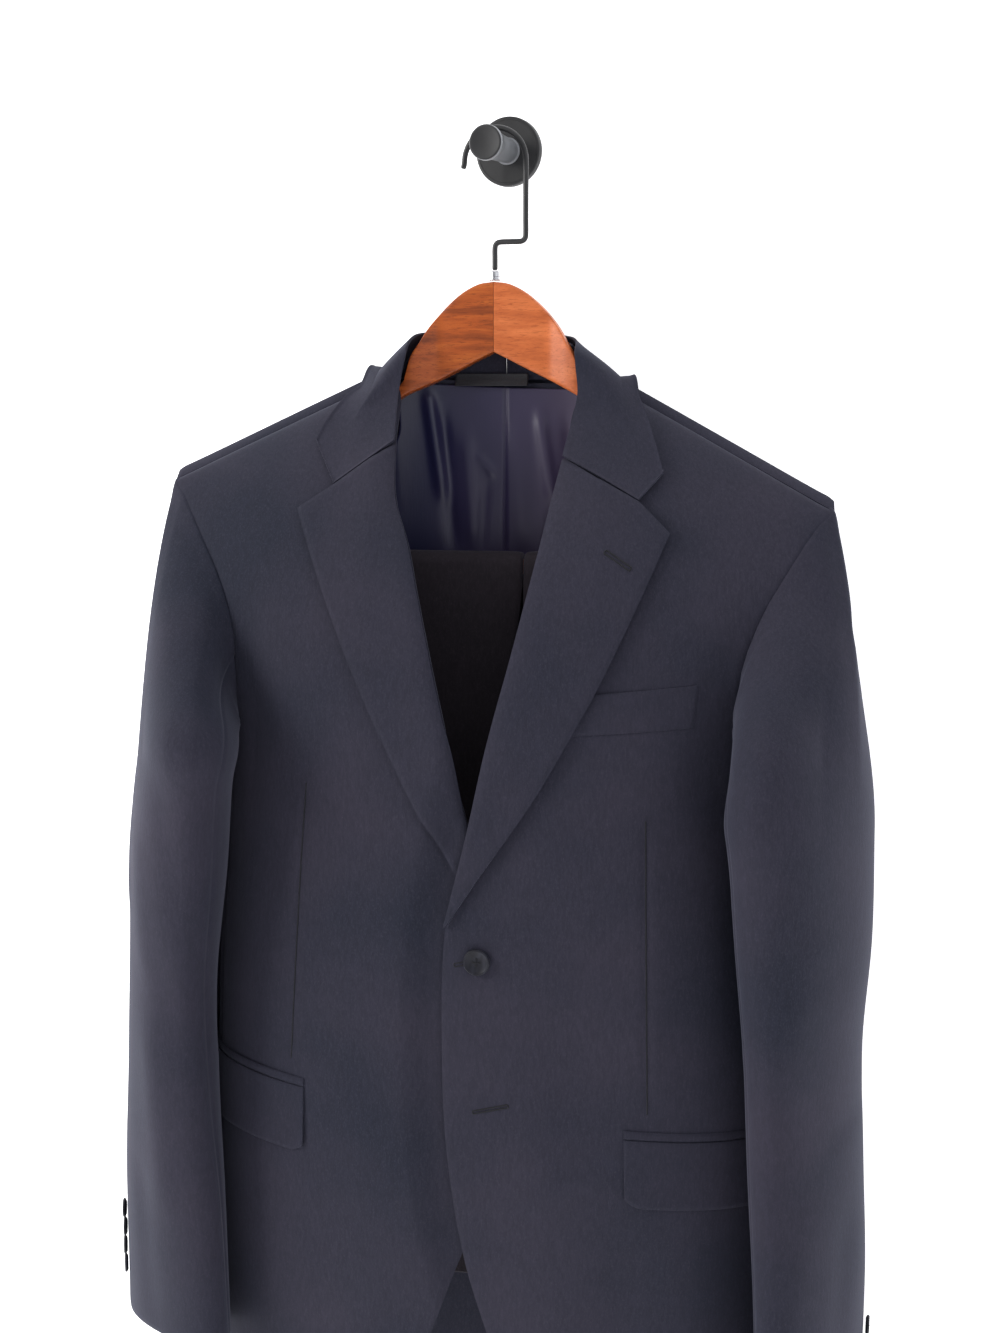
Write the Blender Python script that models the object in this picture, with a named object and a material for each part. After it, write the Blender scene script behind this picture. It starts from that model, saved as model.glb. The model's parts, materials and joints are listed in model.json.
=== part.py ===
"""Two-piece suit on a contoured wooden hanger, hung from a round wall peg.

Frame: +Z up, the suit's front faces -Y, +X is the wearer's left. The origin is the centre of the
wall plate's back face. The suit hangs square to the axes, and the peg and hook are turned from it.
Every cloth panel is a thin closed wall: a patch on the jacket's form, thickened inwards. The form
is worked out from the tables below, in millimetres, and each mesh is made in metres.
"""

import bpy
import bmesh
from math import asin, cos, degrees, exp, hypot, pi, radians, sin, sqrt
from mathutils import Vector

MM = 0.001

# ---- driving dimensions, mm -------------------------------------------------------------------
CLOTH = 1.6                 # wall of one worsted panel with its interlining
SEAM_GAP = 0.4              # between panels that are sewn together
LAY_GAP = 0.4               # under what lies on a panel

PEG_TURN = 10.0             # degrees that the wall and peg are turned from the suit
PLATE_DIAMETER = 49.5
PLATE_THICK = 6.0
PEG_LENGTH = 46.0
CAP_DIAMETER = 24.8
HOOK_OUT = 32.0             # from the wall to the hook's plane, along the peg
WIRE_DIAMETER = 4.0
HOOK_RADIUS = 23.5
HOOK_TOP = 12.8             # height of the wire's middle at the top of the hook

WOOD_TOP = -95.0            # height of the hanger's top at its mitre
BAR_DIAMETER = 11.0
BAR_LEVEL = -298.0
BAR_HALF = 184.0
BAR_Y = -54.0

NECK_X = 80.0               # neck point, half the back neck width
TIP_X = 240.0               # shoulder point
RIDGE_Z = -157.5            # top of the shoulder at the neck point
SHOULDER_SLOPE = 0.51
RIDGE_RISE = 7.4            # the shoulder seam lies this far below the ridge, in front of it
SPINE_Y = -62.0             # depth of the body's widest line
CHEST_Z = -400.0
BLADE_Z = -360.0
NECK_BACK_Z = -166.0
NECK_BACK_Y = -16.0
UNDERARM_Z = -428.0
HEM_Z = -925.0
FRONT_ROUND = 2.4           # exponent of the front half of a body section
SIDE_SEAM = 0.95            # front seam of the side body, as a share of the half width
BACK_SEAM = 0.90            # back seam of the side body
OVERLAP_PUSH = 7.0          # how far the lower front lies behind the upper one

LAPEL_LIFT = 2.0
LAPEL_ROLL = 2.2
BUTTON_DIAMETER = 19.0
BUTTON_THICK = 3.6
CUFF_BUTTON_DIAMETER = 14.6
CUFF_BUTTON_THICK = 2.8
CUFF_BUTTONS = (-826.0, -841.2, -856.4, -871.6)
UPPER_BUTTON = (5.0, -563.0)
LOWER_BUTTON = (9.0, -668.0)


def smooth(t):
    t = min(max(t, 0.0), 1.0)
    return t * t * (3.0 - 2.0 * t)


def lerp(a, b, t):
    return a + (b - a) * t


class Table:
    """Rows of named columns. The first column is the key, and the others run smoothly between rows."""

    def __init__(self, columns, *rows):
        self.names = columns.split()
        self.rows = sorted(rows)

    def value(self, key, name):
        rows, col = self.rows, self.names.index(name)
        if key <= rows[0][0]:
            return rows[0][col]
        if key >= rows[-1][0]:
            return rows[-1][col]
        i = next(n for n in range(len(rows) - 1) if rows[n + 1][0] >= key)
        step = rows[i + 1][0] - rows[i][0]
        t = (key - rows[i][0]) / step
        slope = [self.slope(n, col) * step for n in (i, i + 1)]
        a, b = rows[i][col], rows[i + 1][col]
        return (a * (1 + 2 * t) * (1 - t) ** 2 + slope[0] * t * (1 - t) ** 2
                + b * t * t * (3 - 2 * t) - slope[1] * t * t * (1 - t))

    def slope(self, n, col):
        low, high = max(n - 1, 0), min(n + 1, len(self.rows) - 1)
        return (self.rows[high][col] - self.rows[low][col]) / (self.rows[high][0] - self.rows[low][0])


class Line:
    """A smooth line through a few points, read by its share of the length. Corners stay sharp."""

    def __init__(self, *points, corners=(), curved=True):
        self.bend = None        # (share asked for, share of the length it stands for)
        self.points = [tuple(float(c) for c in p) for p in points]
        self.corners = set(corners) if curved else set(range(len(points)))
        self.at_point = [0.0]
        for a, b in zip(self.points, self.points[1:]):
            self.at_point.append(self.at_point[-1] + sqrt(sum((q - p) ** 2 for p, q in zip(a, b))))

    def tangent(self, i, other):
        last = len(self.points) - 1
        if i in self.corners or i in (0, last):
            i, j = sorted((i, other))
        else:
            i, j = i - 1, i + 1
        span = self.at_point[j] - self.at_point[i]
        return [(b - a) / span for a, b in zip(self.points[i], self.points[j])]

    def at(self, t):
        if self.bend:
            asked, given = self.bend
            t = t * given / asked if t < asked else lerp(given, 1, (t - asked) / (1 - asked))
        where = min(max(t, 0.0), 1.0) * self.at_point[-1]
        i = next(n for n in range(len(self.points) - 1)
                 if self.at_point[n + 1] >= where or n == len(self.points) - 2)
        step = self.at_point[i + 1] - self.at_point[i]
        s = (where - self.at_point[i]) / step
        a, b = self.points[i], self.points[i + 1]
        ta, tb = self.tangent(i, i + 1), self.tangent(i + 1, i)
        return tuple(
            p * (1 + 2 * s) * (1 - s) ** 2 + m * step * s * (1 - s) ** 2
            + q * s * s * (3 - 2 * s) - n * step * s * s * (1 - s)
            for p, q, m, n in zip(a, b, ta, tb))

    def share(self, index):
        return self.at_point[index] / self.at_point[-1]


def patch(top, bottom, inner, outer, u, v):
    """A point of the patch between four border lines that meet at its corners."""
    corners = [((1 - u) * (1 - v), top.at(0)), (u * (1 - v), top.at(1)),
               ((1 - u) * v, bottom.at(0)), (u * v, bottom.at(1))]
    borders = [(1 - v, top.at(u)), (v, bottom.at(u)), (1 - u, inner.at(v)), (u, outer.at(v))]
    return tuple(
        sum(w * p[k] for w, p in borders) - sum(w * p[k] for w, p in corners)
        for k in range(len(top.points[0])))


# ---- the jacket's form -------------------------------------------------------------------------
BODY = Table(
    "z half front back",
    (-240, 285, 86, 47),
    (-290, 252, 86, 47),
    (-340, 222, 86, 47),
    (-385, 201, 86, 47),
    (-430, 190, 87, 47),
    (-490, 196, 91, 46),
    (-560, 206, 93, 45),
    (-640, 211, 95, 46),
    (-720, 214, 95, 47),
    (-800, 216, 93, 47),
    (-925, 220, 89, 47),
)


def sag(x, z):
    """The whole suit hangs lower on the wearer's left, more so towards the hem."""
    return x * (0.04 + 0.045 * smooth((-250 - z) / 250))


def section(z, angle):
    """Round the body at one level: 0 at the front middle, 90 at the side, 180 at the back."""
    half, front, back = (BODY.value(z, name) for name in ("half", "front", "back"))
    if angle <= 90:
        power = 2 / FRONT_ROUND
        s, c = sin(radians(angle)), cos(radians(angle))
        return half * s ** power, SPINE_Y - front * max(c, 0.0) ** power
    return half * sin(radians(angle)), SPINE_Y - back * cos(radians(angle))


def seam_z(x):
    return RIDGE_Z - SHOULDER_SLOPE * (abs(x) - NECK_X) - RIDGE_RISE


def seam_y(x):
    return -40 - 26 * (abs(x) - NECK_X) / (TIP_X - NECK_X)


def front_y(x, z):
    """Depth of the jacket's front at (x, z): the chest's section, drawn in to the shoulder seam."""
    x = abs(x)
    half, front = BODY.value(z, "half"), BODY.value(z, "front")
    chest = SPINE_Y - front * (1 - min(x / half, 1.0) ** FRONT_ROUND) ** (1 / FRONT_ROUND)
    top = seam_z(max(x, NECK_X))
    t = min(max((top - z) / (top - CHEST_Z), 0.0), 1.0)
    blend = (1 - (1 - t) ** 1.5) ** 0.75
    return lerp(seam_y(max(x, NECK_X * 0.8)), chest, blend)


def back_top(x):
    """(y, z) of the back's upper edge: the neck curve, then the shoulder seam."""
    x = abs(x)
    if x < NECK_X:
        t = (x / NECK_X) ** 2
        return lerp(NECK_BACK_Y, seam_y(NECK_X), t * t), lerp(NECK_BACK_Z, seam_z(NECK_X), t)
    return seam_y(x), seam_z(x)


def back_point(x, z):
    """(y, z) of the jacket's back. It rises over the ridge just behind the shoulder seam."""
    half, back = BODY.value(z, "half"), BODY.value(z, "back")
    blade = SPINE_Y + back * sqrt(max(1 - (abs(x) / half) ** 2, 0.0))
    top_y, top_z = back_top(x)
    down = max(top_z - z, 0.0)
    t = min(down / (top_z - BLADE_Z), 1.0)
    blend = (1 - (1 - t) ** 1.6) ** 0.4
    rise = 12 * (down / 5) * exp(1 - down / 5) * smooth((abs(x) - NECK_X + 4) / 14)
    return lerp(top_y, blade, blend), z + rise


def normal_of(point, u, v, side):
    """Outward normal of a patch, from four points close by."""
    e = 0.004
    u0, u1 = max(u - e, 0.0), min(u + e, 1.0)
    v0, v1 = max(v - e, 0.0), min(v + e, 1.0)
    across = Vector(point(u1, v)) - Vector(point(u0, v))
    along = Vector(point(u, v1)) - Vector(point(u, v0))
    return (across.cross(along) * -side).normalized()


# ---- meshes ------------------------------------------------------------------------------------
def material(name, colour, rough, metal=0.0):
    found = bpy.data.materials.get(name)
    if found:
        return found
    made = bpy.data.materials.new(name)
    made.use_nodes = True
    shader = made.node_tree.nodes["Principled BSDF"]
    shader.inputs["Base Color"].default_value = (*colour, 1.0)
    shader.inputs["Roughness"].default_value = rough
    shader.inputs["Metallic"].default_value = metal
    return made


def cloth_finish():
    return material("suit_cloth", (0.038, 0.036, 0.055), 0.85)


def trouser_finish():
    return material("trouser_cloth", (0.035, 0.030, 0.042), 0.85)


def lining_finish():
    return material("lining_satin", (0.042, 0.036, 0.075), 0.4)


def wood_finish():
    return material("hanger_wood", (0.36, 0.12, 0.04), 0.4)


def black_finish():
    return material("black_metal", (0.03, 0.03, 0.032), 0.35, 0.6)


def button_finish():
    return material("button_horn", (0.014, 0.015, 0.022), 0.3)


def add_object(name, points, faces, finish):
    """One closed body, its faces turned outwards."""
    mesh = bpy.data.meshes.new(name)
    mesh.from_pydata([Vector(p) * MM for p in points], [], faces)
    made = bmesh.new()
    made.from_mesh(mesh)
    bmesh.ops.recalc_face_normals(made, faces=made.faces)
    if made.calc_volume(signed=True) < 0:
        bmesh.ops.reverse_faces(made, faces=made.faces)
    made.to_mesh(mesh)
    made.free()
    mesh.shade_smooth()
    mesh.set_sharp_from_angle(angle=radians(35))
    obj = bpy.data.objects.new(name, mesh)
    bpy.context.collection.objects.link(obj)
    mesh.materials.append(finish)
    return obj


def spread(count, *fixed):
    """Even shares from 0 to 1, with the fixed shares put in place of their nearest ones."""
    shares = [n / count for n in range(count + 1)]
    for value in fixed:
        nearest = min(range(1, count), key=lambda n: abs(shares[n] - value))
        shares[nearest] = value
    return shares


def wall(name, outer, inner, across, down, finish):
    """A closed wall between two faces, each a function of (u, v)."""
    wide, tall = len(across), len(down)
    points = [outer(u, v) for v in down for u in across] + [inner(u, v) for v in down for u in across]
    lift = wide * tall

    def at(i, j, layer):
        return layer * lift + j * wide + i

    faces = []
    for j in range(tall - 1):
        for i in range(wide - 1):
            faces.append((at(i, j, 0), at(i + 1, j, 0), at(i + 1, j + 1, 0), at(i, j + 1, 0)))
            faces.append((at(i, j, 1), at(i, j + 1, 1), at(i + 1, j + 1, 1), at(i + 1, j, 1)))
    rim = [(i, 0) for i in range(wide - 1)] + [(wide - 1, j) for j in range(tall - 1)]
    rim += [(i, tall - 1) for i in range(wide - 1, 0, -1)] + [(0, j) for j in range(tall - 1, 0, -1)]
    for (i, j), (k, m) in zip(rim, rim[1:] + rim[:1]):
        faces.append((at(i, j, 0), at(i, j, 1), at(k, m, 1), at(k, m, 0)))
    return add_object(name, points, faces, finish)


def panel(name, point, side, across, down, finish, thick=CLOTH, lift=None):
    """A wall that lies on a patch: its outside on it or, with a lift, its inside that far above it."""
    def layer(rise):
        def made(u, v):
            height = rise + (lift(u, v) if callable(lift) else lift or 0.0)
            return tuple(Vector(point(u, v)) + normal_of(point, u, v, side) * height)
        return made

    low, high = (-thick, 0.0) if lift is None else (0.0, thick)
    return wall(name, layer(high), layer(low), across, down, finish)


def turned(name, profile, centre, axis, finish, count=24):
    """A turned form: profile rows are (radius, distance along the axis), closed on the axis."""
    axis = Vector(axis).normalized()
    side = axis.orthogonal().normalized()
    up = axis.cross(side)
    points, rings = [], []
    for radius, along in profile:
        base = Vector(centre) + axis * along
        if radius == 0:
            rings.append([len(points)])
            points.append(base)
            continue
        rings.append(list(range(len(points), len(points) + count)))
        for n in range(count):
            turn = 2 * pi * n / count
            points.append(base + (side * cos(turn) + up * sin(turn)) * radius)
    faces = []
    for low, high in zip(rings, rings[1:]):
        for n in range(count):
            m = (n + 1) % count
            if len(low) == 1:
                faces.append((low[0], high[n], high[m]))
            elif len(high) == 1:
                faces.append((low[n], low[m], high[0]))
            else:
                faces.append((low[n], low[m], high[m], high[n]))
    return add_object(name, points, faces, finish)


# ---- wall peg and hook -------------------------------------------------------------------------
OUT = Vector((-sin(radians(PEG_TURN)), -cos(radians(PEG_TURN)), 0))     # from the wall to the room
ALONG = Vector((cos(radians(PEG_TURN)), -sin(radians(PEG_TURN)), 0))    # along the wall
HANG = OUT * HOOK_OUT                                                   # the hanger's upright axis


def build_peg():
    r = PLATE_DIAMETER / 2
    turned("wall_plate", [(0, 0), (r, 0), (r, PLATE_THICK - 0.8), (r - 0.8, PLATE_THICK), (0, PLATE_THICK)],
           (0, 0, 0), OUT, black_finish(), 40)
    r, tip = CAP_DIAMETER / 2, PLATE_THICK + PEG_LENGTH
    turned("wall_peg",
           [(0, PLATE_THICK + 0.3), (8.6, PLATE_THICK + 0.3), (9.4, HOOK_OUT - 8), (9.9, HOOK_OUT + 3),
            (r, tip - 4), (r, tip - 1), (r - 0.9, tip), (0, tip)],
           (0, 0, 0), OUT, black_finish(), 32)


def hook_route():
    """The bent wire, as (along the wall, height): up from the ferrule, out at the jog, over the peg."""
    middle = HOOK_TOP - HOOK_RADIUS
    jog, bend = -67.0, 4.0
    route = [(0, -86.6), (0, -78)]
    route += [(bend - bend * cos(a), jog - bend + bend * sin(a)) for a in quarter()]
    route += [(HOOK_RADIUS / 2, jog)]
    route += [(HOOK_RADIUS - bend + bend * sin(a), jog + bend - bend * cos(a)) for a in quarter()]
    route += [(HOOK_RADIUS, z) for z in (-52, -38, -24)]
    route += [(HOOK_RADIUS * cos(radians(a)), middle + HOOK_RADIUS * sin(radians(a)))
              for a in range(0, 186, 12)]
    route.append((-HOOK_RADIUS - 0.9, middle - 4))
    return [HANG + ALONG * x + Vector((0, 0, z)) for x, z in route]


def quarter():
    return [radians(a) for a in (0, 30, 60, 90)]


def tube(name, route, radius, finish, count=10, up=Vector((0, 1, 0))):
    """A round rod along a route, with flat ends."""
    points, faces = [], []
    for n, here in enumerate(route):
        ahead = (route[min(n + 1, len(route) - 1)] - route[max(n - 1, 0)]).normalized()
        side = ahead.cross(up).normalized()
        top = side.cross(ahead)
        for k in range(count):
            turn = 2 * pi * k / count
            points.append(here + (side * cos(turn) + top * sin(turn)) * radius)
    for n in range(len(route) - 1):
        for k in range(count):
            m = (k + 1) % count
            faces.append((n * count + k, n * count + m, (n + 1) * count + m, (n + 1) * count + k))
    faces.append(tuple(range(count)))
    faces.append(tuple((len(route) - 1) * count + k for k in range(count)))
    return add_object(name, points, faces, finish)


def build_hook():
    tube("hook_wire", hook_route(), WIRE_DIAMETER / 2, black_finish(), 10, OUT)
    turned("hook_ferrule", [(0, 0), (4.0, 0), (4.4, 1.0), (4.4, 6.0), (4.0, 7.0), (0, 7.0)],
           HANG + Vector((0, 0, WOOD_TOP + 0.9)), (0, 0, 1),
           material("ferrule_steel", (0.6, 0.6, 0.62), 0.3, 1.0), 20)


# ---- wooden hanger -----------------------------------------------------------------------------
ARM = Table(
    "reach top bottom y thick",
    (0, -95, -145, 0, 13),
    (11, -96.6, -150.4, 0, 13),
    (22, -102, -156, 0, 13),
    (31, -109, -160.4, 0, 13),
    (40, -118, -164.8, 0, 13),
    (48, -128, -168.8, -3, 13),
    (54, -138, -171.7, -5.5, 13),
    (61, -150, -175.2, -7.5, 13),
    (66, -168, -178, -8, 12.4),
    (76, -174, -186, -9.5, 11.6),
    (88, -179, -194, -11, 11),
    (100, -186, -203, -12, 11),
    (125, -199, -215, -15.5, 11),
    (150, -212, -228, -19, 11),
    (172, -222, -239, -21.5, 11),
    (195, -236, -250, -25.5, 11),
    (205, -240, -247, -26, 8),
)


def arm_ring(side, reach):
    """A section of one arm: an upright rectangle with its edges eased."""
    top, bottom, back, thick = (ARM.value(reach, name) for name in ("top", "bottom", "y", "thick"))
    x, y, half = HANG.x + side * reach, HANG.y + back, thick / 2
    shift = -sag(x, top) * smooth((reach - 40) / 60)
    ease = min(1.6, (top - bottom) * 0.2)
    crown = min(half * 0.5, 5.0) * smooth((reach - 40) / 50) + ease
    corners = [(-half, top - crown), (-half + crown, top), (half - crown, top), (half, top - crown),
               (half, bottom + ease), (half - ease, bottom), (-half + ease, bottom), (-half, bottom + ease)]
    return [Vector((x, y + dy, z + shift)) for dy, z in corners]


def build_hanger():
    stations = [0.15, 6, 11, 16.5, 22, 26.5, 31, 35.5, 40, 44, 48, 51, 54, 57.5, 61, 63.5, 66, 76, 88, 100, 125,
                150, 172, 195, 205]
    for side, name in ((-1, "hanger_arm_right"), (1, "hanger_arm_left")):
        rings = [arm_ring(side, reach) for reach in stations]
        count = len(rings[0])
        points = [p for ring in rings for p in ring]
        faces = [tuple(range(count)), tuple(range(len(points) - count, len(points)))]
        for n in range(len(rings) - 1):
            for k in range(count):
                m = (k + 1) % count
                faces.append((n * count + k, n * count + m, (n + 1) * count + m, (n + 1) * count + k))
        add_object(name, points, faces, wood_finish())
    route, bend = [], 14.0
    for side in (-1, 1):
        x = HANG.x + side * BAR_HALF
        y = HANG.y + ARM.value(BAR_HALF, "y")
        top = ARM.value(BAR_HALF, "bottom") - sag(x, ARM.value(BAR_HALF, "top")) - 4.5
        post = [Vector((x - side * bend * (1 - sin(a)), BAR_Y, BAR_LEVEL + bend * (1 - cos(a))))
                for a in (0.0, pi / 6, pi / 3, pi / 2)]
        post += [Vector((x, lerp(BAR_Y, y, 0.6), lerp(BAR_LEVEL, top, 0.6))), Vector((x, y, top))]
        route = post[::-1] if side < 0 else route + post
    tube("hanger_bar", route, BAR_DIAMETER / 2, wood_finish(), 12)


# ---- jacket outlines, on the (x, z) plane of one side; x is outwards from the middle -------------
NECK_POINT = (NECK_X, seam_z(NECK_X))
TIP = (TIP_X, seam_z(TIP_X))
FRONT_ARMHOLE = ((227, -262), (209, -290), (193, -318), (183, -350), (181, -385))
BACK_ARMHOLE = ((231, -270), (214, -312), (199, -350), (186, -382))
FRONT_SEAM_TOP = -415
BACK_SEAM_TOP = -410

# The front's inner edge: neck point, roll line, front edge, rounded corner at the hem.
EDGE_LEFT = ((59, -176), (54, -215), (47, -249), (40, -286), (25, -355), (9, -419), (-4, -481), (-18, -545),
             (-20, -637), (-17, -705), (-6, -779), (7, -826), (24, -872), (48, -904), (84, -919))
EDGE_RIGHT = ((70, -179), (68, -209), (63, -250), (51, -281), (41, -317), (29, -362), (17, -410), (9, -450),
              (-2, -490), (-14, -535), (-19, -600), (-18, -690), (-7, -750), (6, -779), (25, -832),
              (42, -878), (62, -905), (92, -920))


def seam_points(share, top):
    """A side seam from the armhole to the hem, at a share of the body's half width."""
    levels = [top + (HEM_Z - top) * n / 18 for n in range(19)]
    return [(share * BODY.value(z, "half"), z) for z in levels]


def edge_of(side):
    return Line(NECK_POINT, *(EDGE_LEFT if side > 0 else EDGE_RIGHT))


def front_outer():
    return Line(TIP, *FRONT_ARMHOLE, *seam_points(SIDE_SEAM, FRONT_SEAM_TOP))


def back_outer():
    return Line(TIP, *BACK_ARMHOLE, *seam_points(BACK_SEAM, BACK_SEAM_TOP))


def front_edge_x(z):
    """The upper front's inner edge at a level, found along its outline."""
    points = (NECK_POINT,) + EDGE_LEFT
    for (x0, z0), (x1, z1) in zip(points, points[1:]):
        if z1 <= z <= z0:
            return lerp(x0, x1, (z0 - z) / (z0 - z1))
    return points[-1][0] if z < points[-1][1] else NECK_X


def world(side, x, y, z):
    """From one side's own plane to the frame, with the suit's sag."""
    x *= side
    return x, y, z - sag(x, z)


def front_base(side, x, z):
    """The outside of a front at (x, z) of its own side."""
    y = front_y(x, z)
    if side < 0:
        level = z - sag(-x, z)
        y += OVERLAP_PUSH * smooth((-x - front_edge_x(level) + 34) / 27)
    return world(side, x, y, z)


def front_patch(side):
    inner, outer = edge_of(side), front_outer()
    top = Line(NECK_POINT, TIP, curved=False)
    bottom = Line(inner.at(1), outer.at(1), curved=False)

    def point(u, v):
        x, z = patch(top, bottom, inner, outer, u, v)
        return front_base(side, x, z)
    return point


def back_patch(side):
    neck = [(NECK_X * t, back_top(NECK_X * t)[1]) for t in (0.0, 0.25, 0.5, 0.75)]
    top = Line(*neck, NECK_POINT, TIP, corners=(4,))
    outer = back_outer()
    inner = Line((0, NECK_BACK_Z), (0, HEM_Z), curved=False)
    bottom = Line((0, HEM_Z), outer.at(1), curved=False)

    def point(u, v):
        x, z = patch(top, bottom, inner, outer, u, v)
        y, z = back_point(x, z)
        return world(side, x, y, z)
    return point, top.share(4)


def side_patch(side):
    front_angle = degrees(asin(SIDE_SEAM ** (FRONT_ROUND / 2)))
    back_angle = 180 - degrees(asin(BACK_SEAM))

    def point(u, v):
        angle = lerp(front_angle, back_angle, u)
        top = lerp(FRONT_SEAM_TOP, BACK_SEAM_TOP, u) + (UNDERARM_Z - FRONT_SEAM_TOP) * sin(pi * u)
        z = lerp(top, HEM_Z, v)
        return world(side, *section(z, angle), z)
    return point


def shrink(point, left=0.0, right=0.0, top=0.0, bottom=0.0):
    """The same patch, kept short of its borders by these distances in mm."""
    def made(u, v):
        wide = (Vector(point(1, v)) - Vector(point(0, v))).length
        tall = (Vector(point(u, 1)) - Vector(point(u, 0))).length
        return point(lerp(left / wide, 1 - right / wide, u), lerp(top / tall, 1 - bottom / tall, v))
    return made


ARM_SHARE_FRONT = front_outer().share(len(FRONT_ARMHOLE) + 1)    # where the armhole ends on the edges
ARM_SHARE_BACK = back_outer().share(len(BACK_ARMHOLE) + 1)


def side_name(side):
    return "left" if side > 0 else "right"


def build_body(side):
    cloth, half_gap = cloth_finish(), SEAM_GAP / 2
    front = shrink(front_patch(side), right=half_gap + 0.1, top=half_gap)
    panel("front_" + side_name(side), front, side, spread(10), spread(20, ARM_SHARE_FRONT), cloth)
    under = shrink(side_patch(side), left=half_gap + 0.1, right=half_gap + 0.2)
    rows = [0, 0.03, 0.065, 0.11, 0.2, 0.32, 0.45, 0.6, 0.75, 0.88, 1]
    panel("side_" + side_name(side), under, side, spread(5), rows, cloth)
    point, neck_share = back_patch(side)
    back = shrink(point, left=half_gap, right=half_gap, top=half_gap)
    rows = [0, 0.004, 0.01, 0.02, 0.04, 0.07, 0.1, 0.16, 0.21, ARM_SHARE_BACK, 0.285, 0.31, 0.34, 0.4, 0.48,
            0.56, 0.64, 0.73, 0.82, 0.91, 1]
    panel("back_" + side_name(side), back, -side, spread(9, neck_share), rows, cloth)


# ---- sleeves -----------------------------------------------------------------------------------
SLEEVE = Table(
    "z y long x_left short_left turn_left x_right short_right turn_right",
    (-452, -118, 76, 223.5, 39, 27, 218, 33, 26),
    (-530, -116, 71, 227, 37, 28, 226, 34, 28),
    (-610, -113, 66, 229, 31, 27, 234, 31, 30),
    (-690, -112, 65, 233, 29, 28, 236.5, 31, 34),
    (-780, -112, 66, 238, 27, 28, 237.5, 30, 42),
    (-897, -112, 69, 239.5, 23.5, 26, 237.5, 24, 48),
)
CUFF_Z = -897.0
CUFF_SLANT = 14.0
LEAN_ANGLE = 226.0          # where the sleeve's inner side lies against the body
LEAN_GAP = 2.6
ARMHOLE_STAND = 0.7         # from the body's edge to the sleeve's, along the sleeve


def armhole(side):
    """The armhole's ring on the body, from the shoulder point down the front: (point, normal) pairs."""
    front, (back, _), under = front_patch(side), back_patch(side), side_patch(side)
    ring = []
    for n in range(13):
        v = ARM_SHARE_FRONT * n / 12
        ring.append((Vector(front(1, v)), normal_of(front, 1, v, side)))
    for n in range(1, 6):
        ring.append((Vector(under(n / 6, 0)), normal_of(under, n / 6, 0, side)))
    for n in range(12, 0, -1):
        v = ARM_SHARE_BACK * n / 12
        ring.append((Vector(back(1, v)), normal_of(back, 1, v, -side)))
    return ring


def ring_reader(ring):
    """Reads the closed ring by its share of the length, from the shoulder point."""
    closed = ring + ring[:1]
    where = [0.0]
    for (a, _), (b, _) in zip(closed, closed[1:]):
        where.append(where[-1] + (b - a).length)

    def read(share):
        target = (share % 1.0) * where[-1]
        i = next(n for n in range(len(ring)) if where[n + 1] >= target)
        t = (target - where[i]) / max(where[i + 1] - where[i], 1e-6)
        point = closed[i][0].lerp(closed[i + 1][0], t)
        return point, closed[i][1].lerp(closed[i + 1][1], t).normalized()
    return read


def sleeve_ring(side, z, angle):
    """A point of the sleeve at a level: 0 at its front end, 90 outside, 180 at its back end.
    Its inner side leans on the body behind."""
    x, short, turn = (SLEEVE.value(z, f"{name}_{side_name(side)}") for name in ("x", "short", "turn"))
    y, long, turn = SLEEVE.value(z, "y"), SLEEVE.value(z, "long"), radians(turn)
    a = radians(angle)
    x += -sin(turn) * long * cos(a) + cos(turn) * short * sin(a)
    lean = exp(-((angle - LEAN_ANGLE) / 26) ** 2) * smooth((-460 - z) / 60) * smooth((z + 885) / 80)
    x = lerp(x, min(x, BODY.value(z, "half") + LEAN_GAP), lean)
    y += -cos(turn) * long * cos(a) - sin(turn) * short * sin(a)
    return Vector(world(side, x, y, z))


TOP_ANGLE = 95.0            # where the sleeve's ring meets the shoulder point
BICEPS_Z = -452.0
CAP_SHARE = 0.34            # share of the sleeve's rows that lie in its cap


def sleeve_patch(side, low, high):
    """One sleeve panel between two ring angles. v runs from the armhole to the cuff."""
    read = ring_reader(armhole(side))

    def start_of(angle):
        """Where the sleeve leaves the armhole: its place, its run to the biceps, and its wall's direction."""
        share = (TOP_ANGLE - angle) / 360
        edge, out = read(share)
        along = read(share + 0.004)[0] - read(share - 0.004)[0]
        away = (out.cross(along) * side).normalized()
        reach = sleeve_ring(side, BICEPS_Z, angle) - edge
        crown = 0.5 + 0.5 * cos(radians(angle - TOP_ANGLE))
        under = smooth(1 - 1.6 * crown)
        leave = reach + Vector((side * (0.15 + 0.45 * under), 0, 0.03 * crown)) * reach.length
        run = leave.normalized()
        normal = (out * run.dot(away) - away * max(run.dot(out), 0.0)).normalized()
        if normal.dot(out) < 0 and crown > 0.5:
            normal = out
        return edge + away * 0.7 + out * (0.3 + 1.4 * under), leave, normal

    def point(u, v):
        angle = lerp(low, high, u)
        if v < CAP_SHARE:
            start, leave, _ = start_of(angle)
            end = sleeve_ring(side, BICEPS_Z, angle)
            size = (end - start).length
            arrive = (sleeve_ring(side, BICEPS_Z - 4, angle) - end).normalized() * size
            t = v / CAP_SHARE
            return tuple(start * (1 + 2 * t) * (1 - t) ** 2 + leave * t * (1 - t) ** 2
                         + end * t * t * (3 - 2 * t) - arrive * t * t * (1 - t))
        t = (v - CAP_SHARE) / (1 - CAP_SHARE)
        z = lerp(BICEPS_Z, CUFF_Z, t) + CUFF_SLANT * cos(radians(angle)) * smooth((t - 0.55) / 0.45)
        return tuple(sleeve_ring(side, z, angle))

    def wall_normal(u, v):
        """At the armhole the wall turns so that its edge lies face to face with the body's."""
        own = normal_of(point, u, v, side)
        first = start_of(lerp(low, high, u))[2]
        return first.lerp(own, smooth(v / 0.03)).normalized()
    return point, wall_normal


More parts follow.
